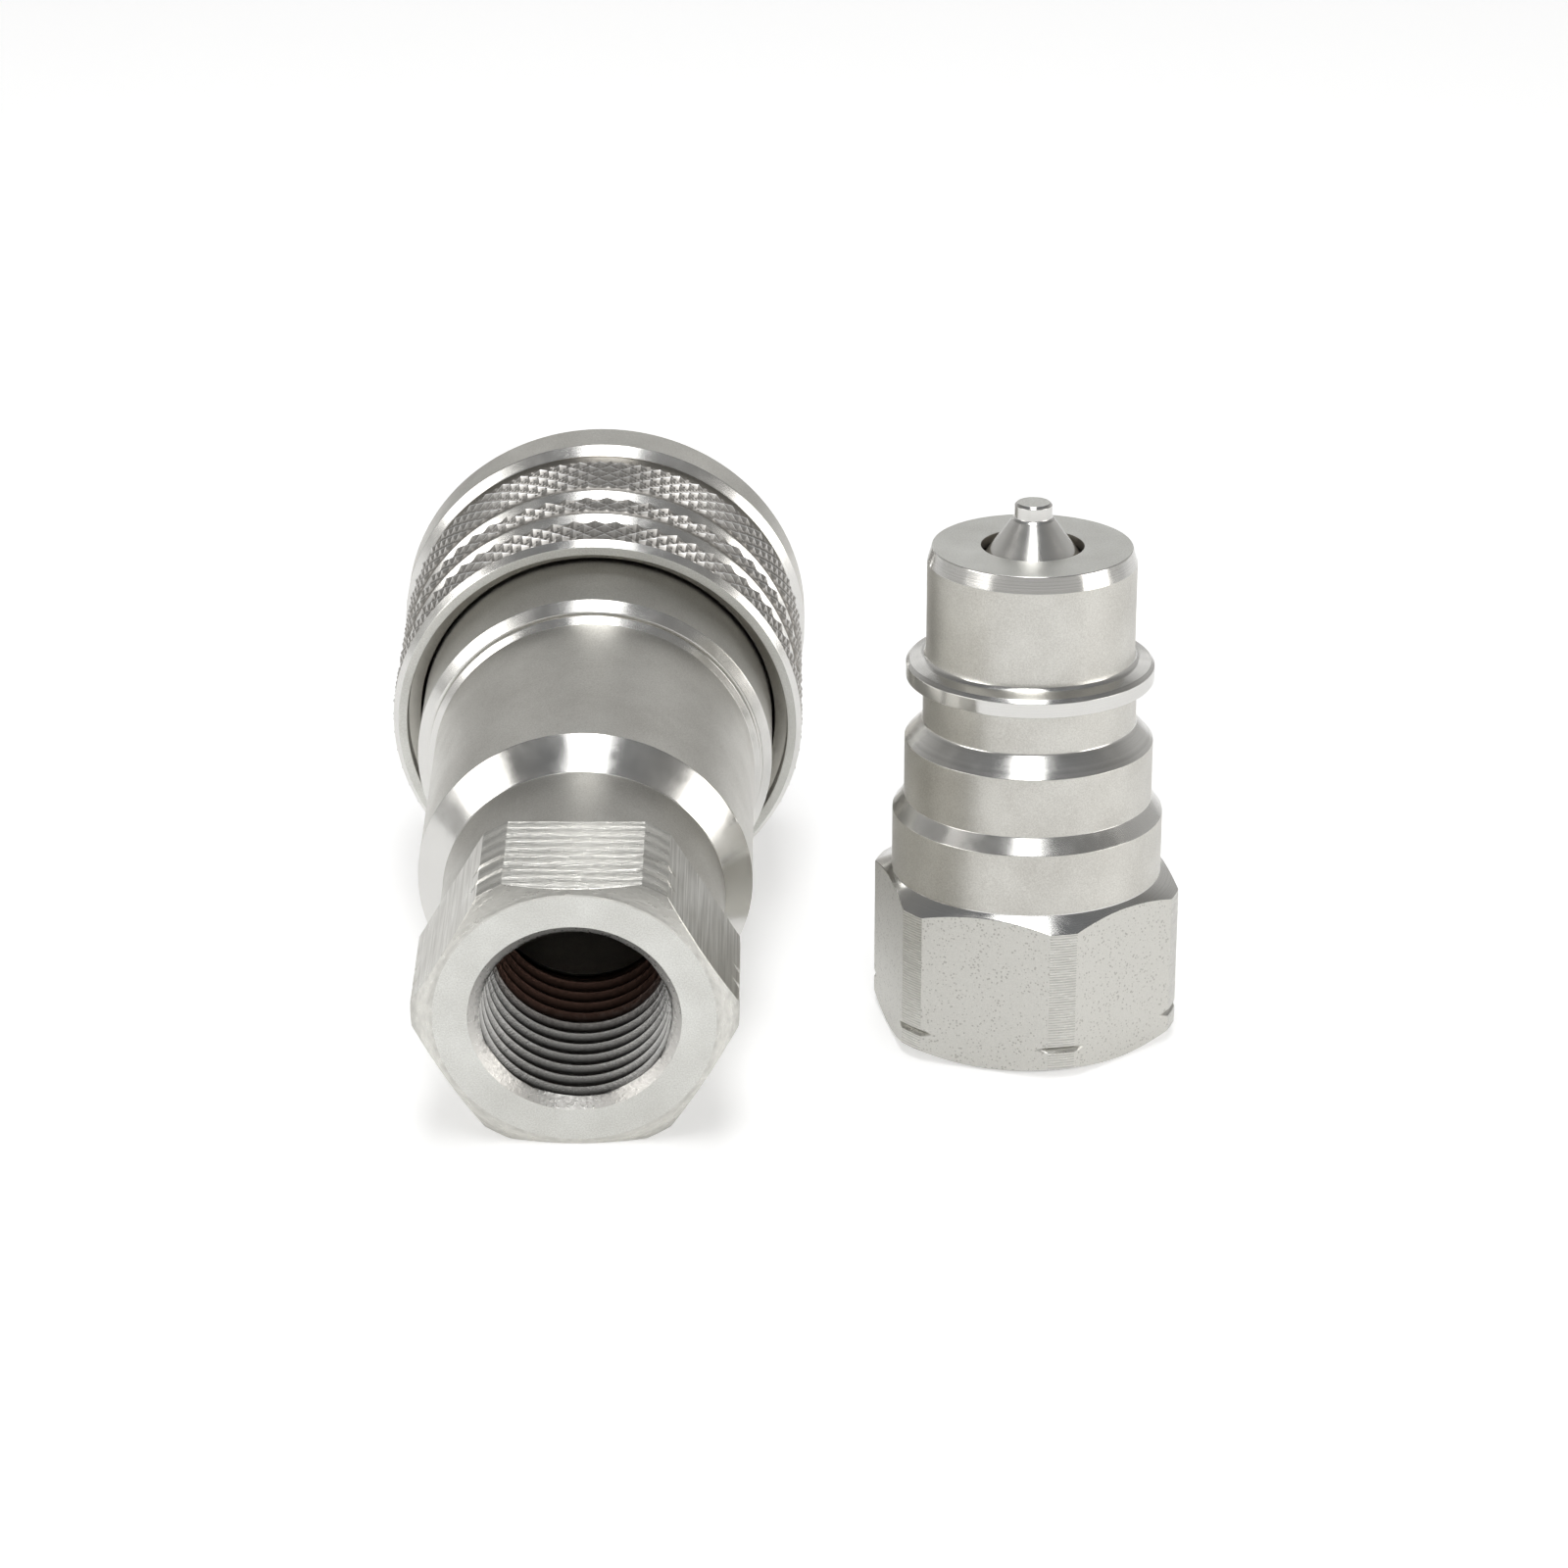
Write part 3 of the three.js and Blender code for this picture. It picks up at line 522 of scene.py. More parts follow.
def rounded(corners, closed=False):
    """Corners (radius, height, rounding[, finish]) as rows (radius, height, finish)."""
    rows = []
    count = len(corners)
    for k, corner in enumerate(corners):
        radius, height, edge = corner[:3]
        finish = corner[3] if len(corner) > 3 else None
        here = np.array((radius, height), float)
        inner = closed or 0 < k < count - 1
        if edge <= 0 or not inner:
            rows.append((radius, height, finish))
            continue
        back = np.array(corners[k - 1][:2], float) - here
        ahead = np.array(corners[(k + 1) % count][:2], float) - here
        back_length, ahead_length = np.linalg.norm(back), np.linalg.norm(ahead)
        back, ahead = back / back_length, ahead / ahead_length
        half = math.acos(np.clip(back @ ahead, -1, 1)) / 2
        if half > NEARLY_STRAIGHT:
            rows.append((radius, height, finish))
            continue
        reach = min(edge / math.tan(half), EDGE_SHARE * back_length, EDGE_SHARE * ahead_length)
        edge = reach * math.tan(half)
        middle = here + (back + ahead) / np.linalg.norm(back + ahead) * edge / math.sin(half)
        first, last = here + back * reach - middle, here + ahead * reach - middle
        before = rows[-1][2] if rows else finish
        if back_length > 2 * (reach + HOLD):
            rows.append((*(here + back * (reach + HOLD)), before))
        sweep = math.pi - 2 * half
        for step in range(ARC_STEPS + 1):
            t = step / ARC_STEPS
            point = (math.sin((1 - t) * sweep) * first + math.sin(t * sweep) * last)
            point = middle + point / math.sin(sweep)
            rows.append((*point, before if t < 0.5 else finish))
        if ahead_length > 2 * (reach + HOLD):
            rows.append((*(here + ahead * (reach + HOLD)), finish))
    return rows


def angles_round(count):
    return np.arange(count) * 2 * math.pi / count


def placed(made, place):
    made.transform(place)
    made.update()
    return made


def closed_mesh(made, weld=None):
    """Turns every face outwards, and refuses a mesh that isn't closed."""
    shape = bmesh.new()
    shape.from_mesh(made)
    if weld is not None:
        bmesh.ops.remove_doubles(shape, verts=shape.verts, dist=weld)
        bmesh.ops.dissolve_degenerate(shape, edges=shape.edges, dist=weld)
    bmesh.ops.recalc_face_normals(shape, faces=shape.faces)
    if shape.calc_volume(signed=True) < 0:
        bmesh.ops.reverse_faces(shape, faces=shape.faces)
    open_edges = sum(1 for edge in shape.edges if len(edge.link_faces) != 2)
    shape.to_mesh(made)
    shape.free()
    if open_edges:
        raise RuntimeError(f"{made.name} has {open_edges} open edges")
    return made


class Turning:
    """Collects patches of rows and turns them into one closed mesh."""

    def __init__(self, angles):
        self.angles = angles
        self.points, self.faces, self.finishes = [], [], []
        self.names = []
        self.count = 0

    def finish_index(self, name):
        if name not in self.names:
            self.names.append(name)
        return self.names.index(name)

    def patch(self, rows, finish, lead=0, paint=None):
        """rows: (radius, height, finish or None); lead: rows gained in once round."""
        n = len(self.angles)
        radii = np.array([np.broadcast_to(r[0], n) for r in rows])
        heights = np.array([np.broadcast_to(r[1], n) for r in rows])
        self.points.append(np.stack(
            [radii * np.cos(self.angles), radii * np.sin(self.angles), heights], -1
        ).reshape(-1, 3))
        for j in range(len(rows) - 1):
            named = self.finish_index(rows[j][2] or finish)
            for i in range(n):
                a, wrap = (i + 1) % n, lead if i == n - 1 else 0
                if j + 1 + wrap >= len(rows):
                    continue
                face = [j * n + i, (j + wrap) * n + a, (j + 1 + wrap) * n + a, (j + 1) * n + i]
                self.faces.append([self.count + v for v in face])
                self.finishes.append(named if paint is None else paint(j, i, named))
        self.count += radii.size
        return self

    def mesh(self, name, place, weld=1e-4):
        made = bpy.data.meshes.new(name)
        made.from_pydata(np.concatenate(self.points).tolist(), [], self.faces)
        made.polygons.foreach_set("material_index", self.finishes)
        return placed(closed_mesh(made, weld), place)


SHARP = math.radians(32)


def show_piece(name, made, finishes, names, body, replaced):
    """Links the piece, gives it its finishes, ties it to its body and hides the CAD nodes it
    replaces.
    """
    if not made.polygons:
        raise RuntimeError(f"{name} has no faces")
    piece = bpy.data.objects.new(name, made)
    bpy.context.scene.collection.objects.link(piece)
    if not made.materials:
        for finish in names:
            made.materials.append(finishes[finish])
    made.polygons.foreach_set("use_smooth", [True] * len(made.polygons))
    made.set_sharp_from_angle(angle=SHARP)
    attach(piece, body)
    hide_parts(*replaced)
    return piece


def turned_piece(name, turning, place, finishes, body, slot, *replaced):
    made = turning.mesh(name, place)
    return show_piece(name, made, finishes, turning.names, body, replaced)


def solid_of_rows(corners, finish, count=120):
    turning = Turning(angles_round(count))
    rows = rounded(corners, closed=True)
    rows.append(rows[0])
    return turning.patch(rows, finish)


# ---------------------------------------------------------------------------------------
# Hexagon ends and threaded ports
# ---------------------------------------------------------------------------------------

CORNER_REACH = 25.0  # degrees from a flat's middle to the edge of the corner strip
SECTOR_STEPS = (
    0, 3, 6, 9, 12, 14.5, 16.5, 18.5, 20.5, 22, 23.2, 24.1, 24.7, 25.0, 25.3, 26, 28)


def hexagon_angles():
    """Angles that are close together along the edges of the six flats."""
    found = []
    for k in range(6):
        middle = 30 + 60 * k
        found += [middle - s for s in SECTOR_STEPS[:0:-1]] + [middle + s for s in SECTOR_STEPS]
        found.append(middle + 30)
    return np.radians(np.array(sorted(found)))


HEX_ANGLES = hexagon_angles()
FROM_FLAT = np.degrees(HEX_ANGLES) % 60 - 30  # degrees from the nearest flat's middle


def flat_reach(across_flats):
    return across_flats / 2 / np.cos(np.radians(FROM_FLAT))


def hexagon_rows(sizes, top, notches, upper=None):
    """The outside of a hexagon from its end face up to `top`; `upper` is the radius that its
    upper chamfer runs down to, or None for a plain step."""
    flat = flat_reach(sizes.across_flats / MM)
    bar = np.minimum(BAR_RADIUS, flat)
    rise = (bar - HEX_FACE_RADIUS) * HEX_SLOPE
    rows = [(HEX_FACE_RADIUS - 0.18, 0), (HEX_FACE_RADIUS - 0.05, 0)]
    rows += [(HEX_FACE_RADIUS, 0.010), (HEX_FACE_RADIUS + 0.06, 0.035)]
    rows += [(bar - 0.10, rise - 0.058), (bar - 0.03, rise - 0.0175), (bar, rise + 0.03)]
    rows += [(bar, rise + 0.12)]
    depth = sizes.notch_depth / MM
    for centre in notches:
        for step in (-0.42, -0.36, -0.3, -0.15, 0, 0.15, 0.3, 0.36, 0.42):
            cut = depth * max(0.0, 1 - abs(step) / 0.36)
            rows.append((np.minimum(flat, BAR_RADIUS - cut), centre + step))
    if upper is None:
        rows += [(bar, top - 0.15), (bar, top - 0.05), (bar - 0.04, top)]
    else:
        fall = (bar - upper) * HEX_SLOPE
        rows += [(bar, top - fall - 0.12), (bar, top - fall - 0.03)]
        rows += [(bar - 0.03, top - fall + 0.0175), (bar - 0.10, top - fall + 0.058)]
    return [(radius, height, None) for radius, height in rows]


# Part of a pitch at which the thread's crest and root begin and end
THREAD_PHASES = (-0.06, 0.06, 0.155, 0.25, 0.345, 0.44, 0.56, 0.655, 0.75, 0.845)
THREAD_TAPER = 1 / 32
THREAD_CREST = 8.95
MOUTH_RADIUS = 10.1
MOUTH_SLOPE = 1.1
THREAD_END = 23.0


def thread_rows(sizes, angles):
    """Rows that follow the helix, held between the port's face and the relief behind it."""
    pitch, height = sizes.thread_pitch / MM, sizes.thread_height / MM
    rows = []
    for turn in range(-1, int(THREAD_END / pitch) + 2):
        for phase in THREAD_PHASES:
            station = (turn + phase + angles / (2 * math.pi)) * pitch
            share = abs((phase + 0.5) % 1 - 0.5) * 2
            lift = np.clip((share - 0.12) / 0.76, 0, 1)
            station = np.clip(station, 0, THREAD_END)
            lift = lift * np.clip((station - 0.7) / 1.0, 0, 1)
            crest = THREAD_CREST - station * THREAD_TAPER
            root = crest + height * lift
            relief = np.clip((station - THREAD_END + 1.4) / 1.0, 0, 1)
            root = root + (GUIDE_BORE_RADIUS - root) * relief
            mouth = MOUTH_RADIUS - station * MOUTH_SLOPE
            radius = np.where(station >= THREAD_END, GUIDE_BORE_RADIUS, np.maximum(root, mouth))
            radius = np.where(station <= 0, MOUTH_RADIUS, radius)
            rows.append((radius, station, "thread"))
    return rows


def port_rows(face, orifice_side):
    """The bore from the valve chamber back to the end of the thread, as corners."""
    ring_low, ring_high = face + RING_BACK - 0.12, face + RING_FRONT + 0.12
    shoulder = face + GUIDE_FRONT + 0.3
    return [
        *orifice_side,
        (CHAMBER_RADIUS, shoulder, 0.08, "bore"),
        (GUIDE_BORE_RADIUS, shoulder, 0.1, "bore"),
        (GUIDE_BORE_RADIUS, ring_high, 0.06, "bore"),
        (GUIDE_GROOVE_RADIUS, ring_high, 0.08, "bore"),
        (GUIDE_GROOVE_RADIUS, ring_low, 0.08, "bore"),
        (GUIDE_BORE_RADIUS, ring_low, 0.06, "bore"),
        (GUIDE_BORE_RADIUS, THREAD_END, 0, "bore"),
    ]


def face_port(turning):
    """The faced ring between the port's mouth and the hexagon's chamfer."""
    turning.patch([(MOUTH_RADIUS, 0, None), (MOUTH_RADIUS + 0.12, 0, None),
                   (HEX_FACE_RADIUS - 0.18, 0, None)], "face")


def cut_thread(turning, sizes):
    turning.patch(thread_rows(sizes, HEX_ANGLES), "thread", lead=len(THREAD_PHASES))


def hexagon_paint(turning, top_row, flats):
    """Gives each flat its own finish and the corner strips theirs, up to `top_row`."""
    inside = np.abs(FROM_FLAT) < CORNER_REACH - 0.1
    sector = (np.degrees(HEX_ANGLES) // 60).astype(int)
    strip = turning.finish_index("strip")
    marked = [turning.finish_index(name) for name in flats]

    def paint(j, i, named):
        if not 6 <= j < top_row:
            return named
        a = (i + 1) % len(HEX_ANGLES)
        if inside[i] or inside[a]:
            return marked[sector[i if inside[i] else a]]
        return strip

    return paint


def build_adaptor(context):
    sizes = context.scene.coupler_sizes
    finishes = finish_set(context)["socket"]
    turning = Turning(HEX_ANGLES)
    face_port(turning)
    hexagon = hexagon_rows(sizes, 13.0, (3.8, 6.5))
    flats = ("flat_painted_shade", "flat_long", "flat_long", "flat_long", "flat_cross", "flat_painted_shade")
    paint = hexagon_paint(turning, len(hexagon) - 1, flats)
    turning.patch(hexagon, "strip", paint=paint)
    rear_edge = hexagon[-1]
    turning.patch([rear_edge, (14.0, 13.0, None), (13.93, 13.03, None), (13.9, 13.1, None),
                   (13.9, 13.3, None)], "dull")
    outside = rounded([
        (13.9, 13.3, 0, "dull"),
        (13.9, 23.0, 0.35, "polish"),
        (16.58, 26.0, 0.12, "plate"),
        (16.58, 49.53, 0.05, "mirror"),
        (17.25, 50.2, 0.07, "plate"),
        (17.0, 50.3, 0.04, "plate"),
        (17.0, 50.47, 0, "bore"),
        (SPIGOT_RADIUS, 50.47, 0.1, "bore"),
        (SPIGOT_RADIUS, 53.05, 0.08, "bore"),
        (12.3, 53.05, 0.1, "bore"),
        (12.3, 54.95, 0.1, "bore"),
        (SPIGOT_RADIUS, 54.95, 0.08, "bore"),
        (SPIGOT_RADIUS, 56.2, 0.3, "bore"),
        *port_rows(SEAT_FACE, [(CHAMBER_RADIUS, 56.2, 0.2, "bore")]),
    ])
    turning.patch(outside, "plate")
    cut_thread(turning, sizes)
    turned_piece("socket_adaptor_turned", turning, SOCKET_PLACE, finishes,
                 "socket", "turned_steel", "socket_adaptor")


def build_plug_body(context):
    sizes = context.scene.coupler_sizes
    finishes = finish_set(context)["plug"]
    turning = Turning(HEX_ANGLES)
    face_port(turning)
    hexagon = hexagon_rows(sizes, 16.64, (3.1,), upper=13.45)
    paint = hexagon_paint(turning, len(hexagon) - 3, ("flat_pitted",) * 6)
    turning.patch(hexagon, "polish", paint=paint)
    turning.patch([hexagon[-1], (13.5, 16.611, None), (13.46, 16.65, None),
                   (13.45, 16.75, None)], "polish")
    outside = rounded([
        (13.45, 16.75, 0, "plate"),
        (13.45, 22.92, 0.08, "mirror"),
        (12.32, 24.44, 0.08, "plate"),
        (12.32, 30.42, 0.10, "mirror"),
        (10.55, 32.38, 0.35, "plate"),
        (10.55, 36.78, 0.25, "bore"),
        (12.25, 36.78, 0.08, "polish"),
        (12.25, 38.23, 0.08, "polish"),
        (11.90, 38.58, 0.08, "polish"),
        (10.28, 39.0, 0.7, "plate"),
        (10.28, 48.7, 0.15, "polish"),
        (9.81, 50.3, 0.10, "face"),
        (ORIFICE_RADIUS, 50.3, 0.06, "bore"),
        (ORIFICE_RADIUS, PLUG_FACE - SEAT_LAND, 0.1, "bore"),
        *port_rows(PLUG_FACE, [(CHAMBER_RADIUS, PLUG_FACE - SEAT_DEPTH, 0.2, "bore")]),
    ])
    turning.patch(outside, "plate")
    cut_thread(turning, sizes)
    turned_piece("plug_body_turned", turning, PLUG_PLACE, finishes,
                 "plug", "turned_steel", "plug_body")


# ---------------------------------------------------------------------------------------
# Socket body with its eight ball holes
# ---------------------------------------------------------------------------------------


def combine(piece, other, operation):
    """Boolean of two plain objects in local millimetres; the second is thrown away."""
    modifier = piece.modifiers.new("combine", "BOOLEAN")
    modifier.object = other
    modifier.operation = operation
    modifier.solver = "EXACT"
    made = plain_mesh(piece)
    piece.modifiers.clear()
    piece.data = made
    bpy.data.objects.remove(other)


def plain_mesh(piece):
    bpy.context.view_layer.update()
    graph = bpy.context.evaluated_depsgraph_get()
    evaluated = piece.evaluated_get(graph)
    return bpy.data.meshes.new_from_object(
        evaluated, preserve_all_data_layers=True, depsgraph=graph)


def scratch_object(name, made):
    piece = bpy.data.objects.new(name, made)
    bpy.context.scene.collection.objects.link(piece)
    return piece


def drills():
    """Eight round bars through the wall, one for each locking ball."""
    shape = bmesh.new()
    reach, radius = 8.0, BALL_RADIUS + 0.12
    for k in range(len(BALLS)):
        turn = Matrix.Rotation(k * math.pi / 4, 4, "Z")
        shift = Matrix.Translation((BALL_CENTRE_RADIUS + 0.6, 0, BALL_STATION))
        lay = Matrix.Rotation(math.pi / 2, 4, "Y")
        bmesh.ops.create_cone(
            shape, cap_ends=True, segments=48, radius1=radius, radius2=radius,
            depth=reach, matrix=turn @ shift @ lay)
    made = bpy.data.meshes.new("drills")
    shape.to_mesh(made)
    shape.free()
    return scratch_object("drills", made)


def build_body(context):
    finishes = finish_set(context)["socket"]
    turning = solid_of_rows([
        (14.3, 50.5, 0.1, "mirror"),
        (BODY_RADIUS - 0.95, 50.5, 0.12, "mirror"),
        (BODY_RADIUS, 51.45, 0.10, "dull"),
        (BODY_RADIUS, 62.0024, 0.1, "bore"),
        (CAGE_RADIUS, 62.0024, 0.2, "bore"),
        (CAGE_RADIUS, 80.3824, 0.05, "bore"),
        (14.2, 80.3824, 0.08, "bore"),
        (14.2, 81.8224, 0.08, "bore"),
        (CAGE_RADIUS, 81.8224, 0.05, "bore"),
        (CAGE_RADIUS, 84.1224, 0.15, "face"),
        (13.6, 84.1224, 0.10, "polish"),
        (12.5, 83.0224, 0.10, "plate"),
        (12.5, 72.5, 0.15, "plate"),
        (10.45, 72.5, 0.15, "plate"),
        (10.45, 70.3, 0.12, "bore"),
        (12.9, 70.3, 0.15, "bore"),
        (12.9, 66.34, 0.15, "bore"),
        (10.45, 66.34, 0.12, "plate"),
        (10.45, SEAT_FACE, 0.15, "plate"),
        (ORIFICE_RADIUS, SEAT_FACE, 0.06, "bore"),
        (ORIFICE_RADIUS, SEAT_FACE - SEAT_LAND, 0.1, "bore"),
        (CHAMBER_RADIUS, SEAT_FACE - SEAT_DEPTH, 0.2, "bore"),
        (CHAMBER_RADIUS, 56.5, 0.1, "bore"),
        (14.3, 56.5, 0.1, "bore"),
    ], "plate", 192)
    made = turning.mesh("socket_body_bored", Matrix.Identity(4))
    piece = scratch_object("bored", made)
    combine(piece, drills(), "DIFFERENCE")
    made = piece.data
    bpy.data.objects.remove(piece)
    made.name = "socket_body_bored"
    placed(made, SOCKET_PLACE)
    show_piece("socket_body_bored", made, finishes, turning.names,
               "socket", ["socket_body"])


# ---------------------------------------------------------------------------------------
# Locking sleeve: one slice, repeated round the axis by Geometry Nodes
# ---------------------------------------------------------------------------------------

HALF_DIAMOND_STEPS = 3
BEAD = 0.48  # chamfer across the rear ends of the two front bands
LEDGE = 0.24  # plain step behind each bead
FLOOR_RADIUS = 20.55
BAND_STARTS = (59.3724, 66.1924, 71.8924)
BAND_ENDS = (63.4724, 69.1724, 78.6224)
KNURL_BANDS = (  # rear, front, cut depth at the rear, cut depth at the front
    (BAND_STARTS[0], BAND_ENDS[0], 0.0, 0.12),
    (BAND_STARTS[1], BAND_ENDS[1], BEAD, 0.12),
    (BAND_STARTS[2], BAND_ENDS[2], BEAD, 0.30),
)
REAR_CHAMFER = (0.9, 0.75)  # length, height
SLICE_WELD = 0.001  # distance under which the points of two slices are joined
KNURL_RUN_OUT = 0.2  # how far the knurl cuts into the rear chamfer


def knurl_height(across, along):
    """0 on a diamond's tip, 1 in the valleys, from lattice coordinates."""
    first = np.abs((across + along + 1) % 2 - 1)
    second = np.abs((across - along + 1) % 2 - 1)
    return np.maximum(first, second)


def band_rows(sizes, band, columns):
    """Rows of one knurled band, cut by the chamfers at its two ends."""
    rear, front, rear_cut, front_cut = band
    row = sizes.knurl_row / MM
    depth = sizes.knurl_depth / MM
    start = rear + 0.72 * row  # a row of tips, so that the bead falls between two rows
    first = rear
    if rear_cut == 0:
        first = rear - KNURL_RUN_OUT
    step = row / HALF_DIAMOND_STEPS
    stations = [start + k * step for k in range(-9, 60)]
    stations = [s for s in stations if first + 0.05 < s < front - 0.05]
    ends = [rear + d for d in (0.08, 0.16, 0.24, 0.32, 0.40, 0.48)]
    ends += [front - d for d in (0.06, 0.12, 0.20, 0.30)]
    ends += [s for s in (rear - 0.1, rear - 0.2, rear - 0.3, rear - 0.45) if s > first]
    stations = sorted([first, front] + stations + [
        e for e in ends if first < e < front and min(abs(e - s) for s in stations) > 0.03])
    rows = []
    for station in stations:
        along = (station - start) / row
        cut = depth
        if station < rear:
            cut = depth * (1 - 0.45 * (rear - station) / REAR_CHAMFER[0])
        radius = KNURL_RADIUS - cut * knurl_height(columns, along)
        if station < rear:
            limit = KNURL_RADIUS - (rear - station) * REAR_CHAMFER[1] / REAR_CHAMFER[0]
        else:
            limit = KNURL_RADIUS - max(0, rear_cut - (station - rear))
        limit = min(limit, KNURL_RADIUS - max(0, front_cut - (front - station)))
        # crest: where a painted highlight goes, along each row of diamond tips; none where a
        # chamfer cuts the tips.
        near = np.abs(along - np.round(along)) < 0.02
        tip = np.abs((columns + np.round(along) + 1) % 2 - 1)
        crest = np.where(near, 1.0 - 0.25 * tip, 0.0)
        crest = np.where(np.minimum(radius, limit) < radius - 1e-6, 0.0, crest)
        rows.append((np.minimum(radius, limit), station, "knurl", crest))
    return rows


def groove_rows(rear, front):
    """A plain groove between two bands: down, along its floor, up a 45 degree wall, a step."""
    top = KNURL_RADIUS - BEAD
    return rounded([
        (KNURL_RADIUS - 0.42, rear, 0, "polish"),
        (FLOOR_RADIUS, rear + 0.73, 0.15, "polish"),
        (FLOOR_RADIUS, front - LEDGE - (top - FLOOR_RADIUS), 0.15, "mirror"),
        (top, front - LEDGE, 0.04, "dull"),
        (top, front, 0, "knurl"),
    ])


def sleeve_slice(sizes):
    """A slice of the sleeve one diamond wide, open at its two sides."""
    columns = np.arange(-HALF_DIAMOND_STEPS, HALF_DIAMOND_STEPS + 1) / HALF_DIAMOND_STEPS
    angles = columns * math.pi / sizes.knurl_count
    turning = Turning(angles)
    bands = [band_rows(sizes, band, columns) for band in KNURL_BANDS]
    rear_chamfer_end = bands[0][0][1]
    fall = (KNURL_BANDS[0][0] - rear_chamfer_end) * REAR_CHAMFER[1] / REAR_CHAMFER[0]
    parts = [
        rounded([
            (20.01, SLEEVE_REAR + 0.3, 0, "polish"),
            (20.01, SLEEVE_REAR, 0.12, "face"),
            (KNURL_RADIUS - REAR_CHAMFER[1], SLEEVE_REAR, 0.08, "mirror"),
            (KNURL_RADIUS - fall, rear_chamfer_end, 0, "knurl"),
        ]),
        bands[0],
        groove_rows(BAND_ENDS[0], BAND_STARTS[1]),
        bands[1],
        groove_rows(BAND_ENDS[1], BAND_STARTS[2]),
        bands[2],
        rounded([
            (KNURL_RADIUS - 0.42, BAND_ENDS[2], 0, "fillet"),
            (21.0, BAND_ENDS[2] + 0.4, 0.3, "fillet"),
            (21.0, 80.85, 0.35, "mirror"),
            (21.93, 81.75, 0.10, "plate"),
            (21.93, SLEEVE_FRONT - 0.4, 0.1, "polish"),
            (21.53, SLEEVE_FRONT, 0.1, "face"),
            (17.4, SLEEVE_FRONT, 0.12, "plate"),
            (17.4, 80.2024, 0.12, "bore"),
            (16.42, 80.2024, 0.1, "bore"),
            (15.7, 77.5024, 0.5, "bore"),
            (15.7, 74.0024, 0.1, "bore"),
            (18.71, 74.0024, 0.2, "bore"),
            (18.71, SLEEVE_REAR + 2.1, 0.1, "polish"),
            (20.01, SLEEVE_REAR + 1.4, 0.08, "polish"),
            (20.01, SLEEVE_REAR + 0.3, 0, "polish"),
        ]),
    ]
    rows = []
    for part in parts:
        if rows:
            same_radius = np.allclose(rows[-1][0], part[0][0], atol=1e-6)
            if same_radius and abs(rows[-1][1] - part[0][1]) < 1e-6:
                rows.pop()
        rows += part
    return turning, rows


def slice_mesh(turning, rows):
    count = len(turning.angles)
    points, faces, finishes, crest_highlights = [], [], [], []
    for row in rows:
        radius = np.broadcast_to(row[0], count)
        on_crest = np.broadcast_to(row[3] if len(row) > 3 else 0.0, count)
        for r, a in zip(radius, turning.angles):
            points.append((r * math.cos(a), r * math.sin(a), row[1]))
        crest_highlights += list(on_crest)
    for j in range(len(rows) - 1):
        named = turning.finish_index(rows[j][2])
        knurled = rows[j][2] == "knurl"
        for i in range(count - 1):
            a, b = j * count + i, j * count + i + 1
            c, d = b + count, a + count
            if not knurled:
                faces.append((a, b, c, d))
                finishes.append(named)
                continue
            radii = [math.hypot(points[v][0], points[v][1]) for v in (a, b, c, d)]
            if abs(radii[0] - radii[2]) < abs(radii[1] - radii[3]):
                split = ((a, b, c), (a, c, d))
            else:
                split = ((a, b, d), (b, c, d))
            faces += split
            finishes += [named, named]
    made = bpy.data.meshes.new("sleeve_slice")
    made.from_pydata(points, [], faces)
    made.polygons.foreach_set("material_index", finishes)
    # The crest attribute carries the painted highlight mask to the knurled material.
    crest = made.attributes.new("crest", "FLOAT", "POINT")
    crest.data.foreach_set("value", crest_highlights)
    knurl = turning.finish_index("knurl")
    flag = made.attributes.new("knurled", "BOOLEAN", "FACE")
    flag.data.foreach_set("value", [f == knurl for f in finishes])
    return made


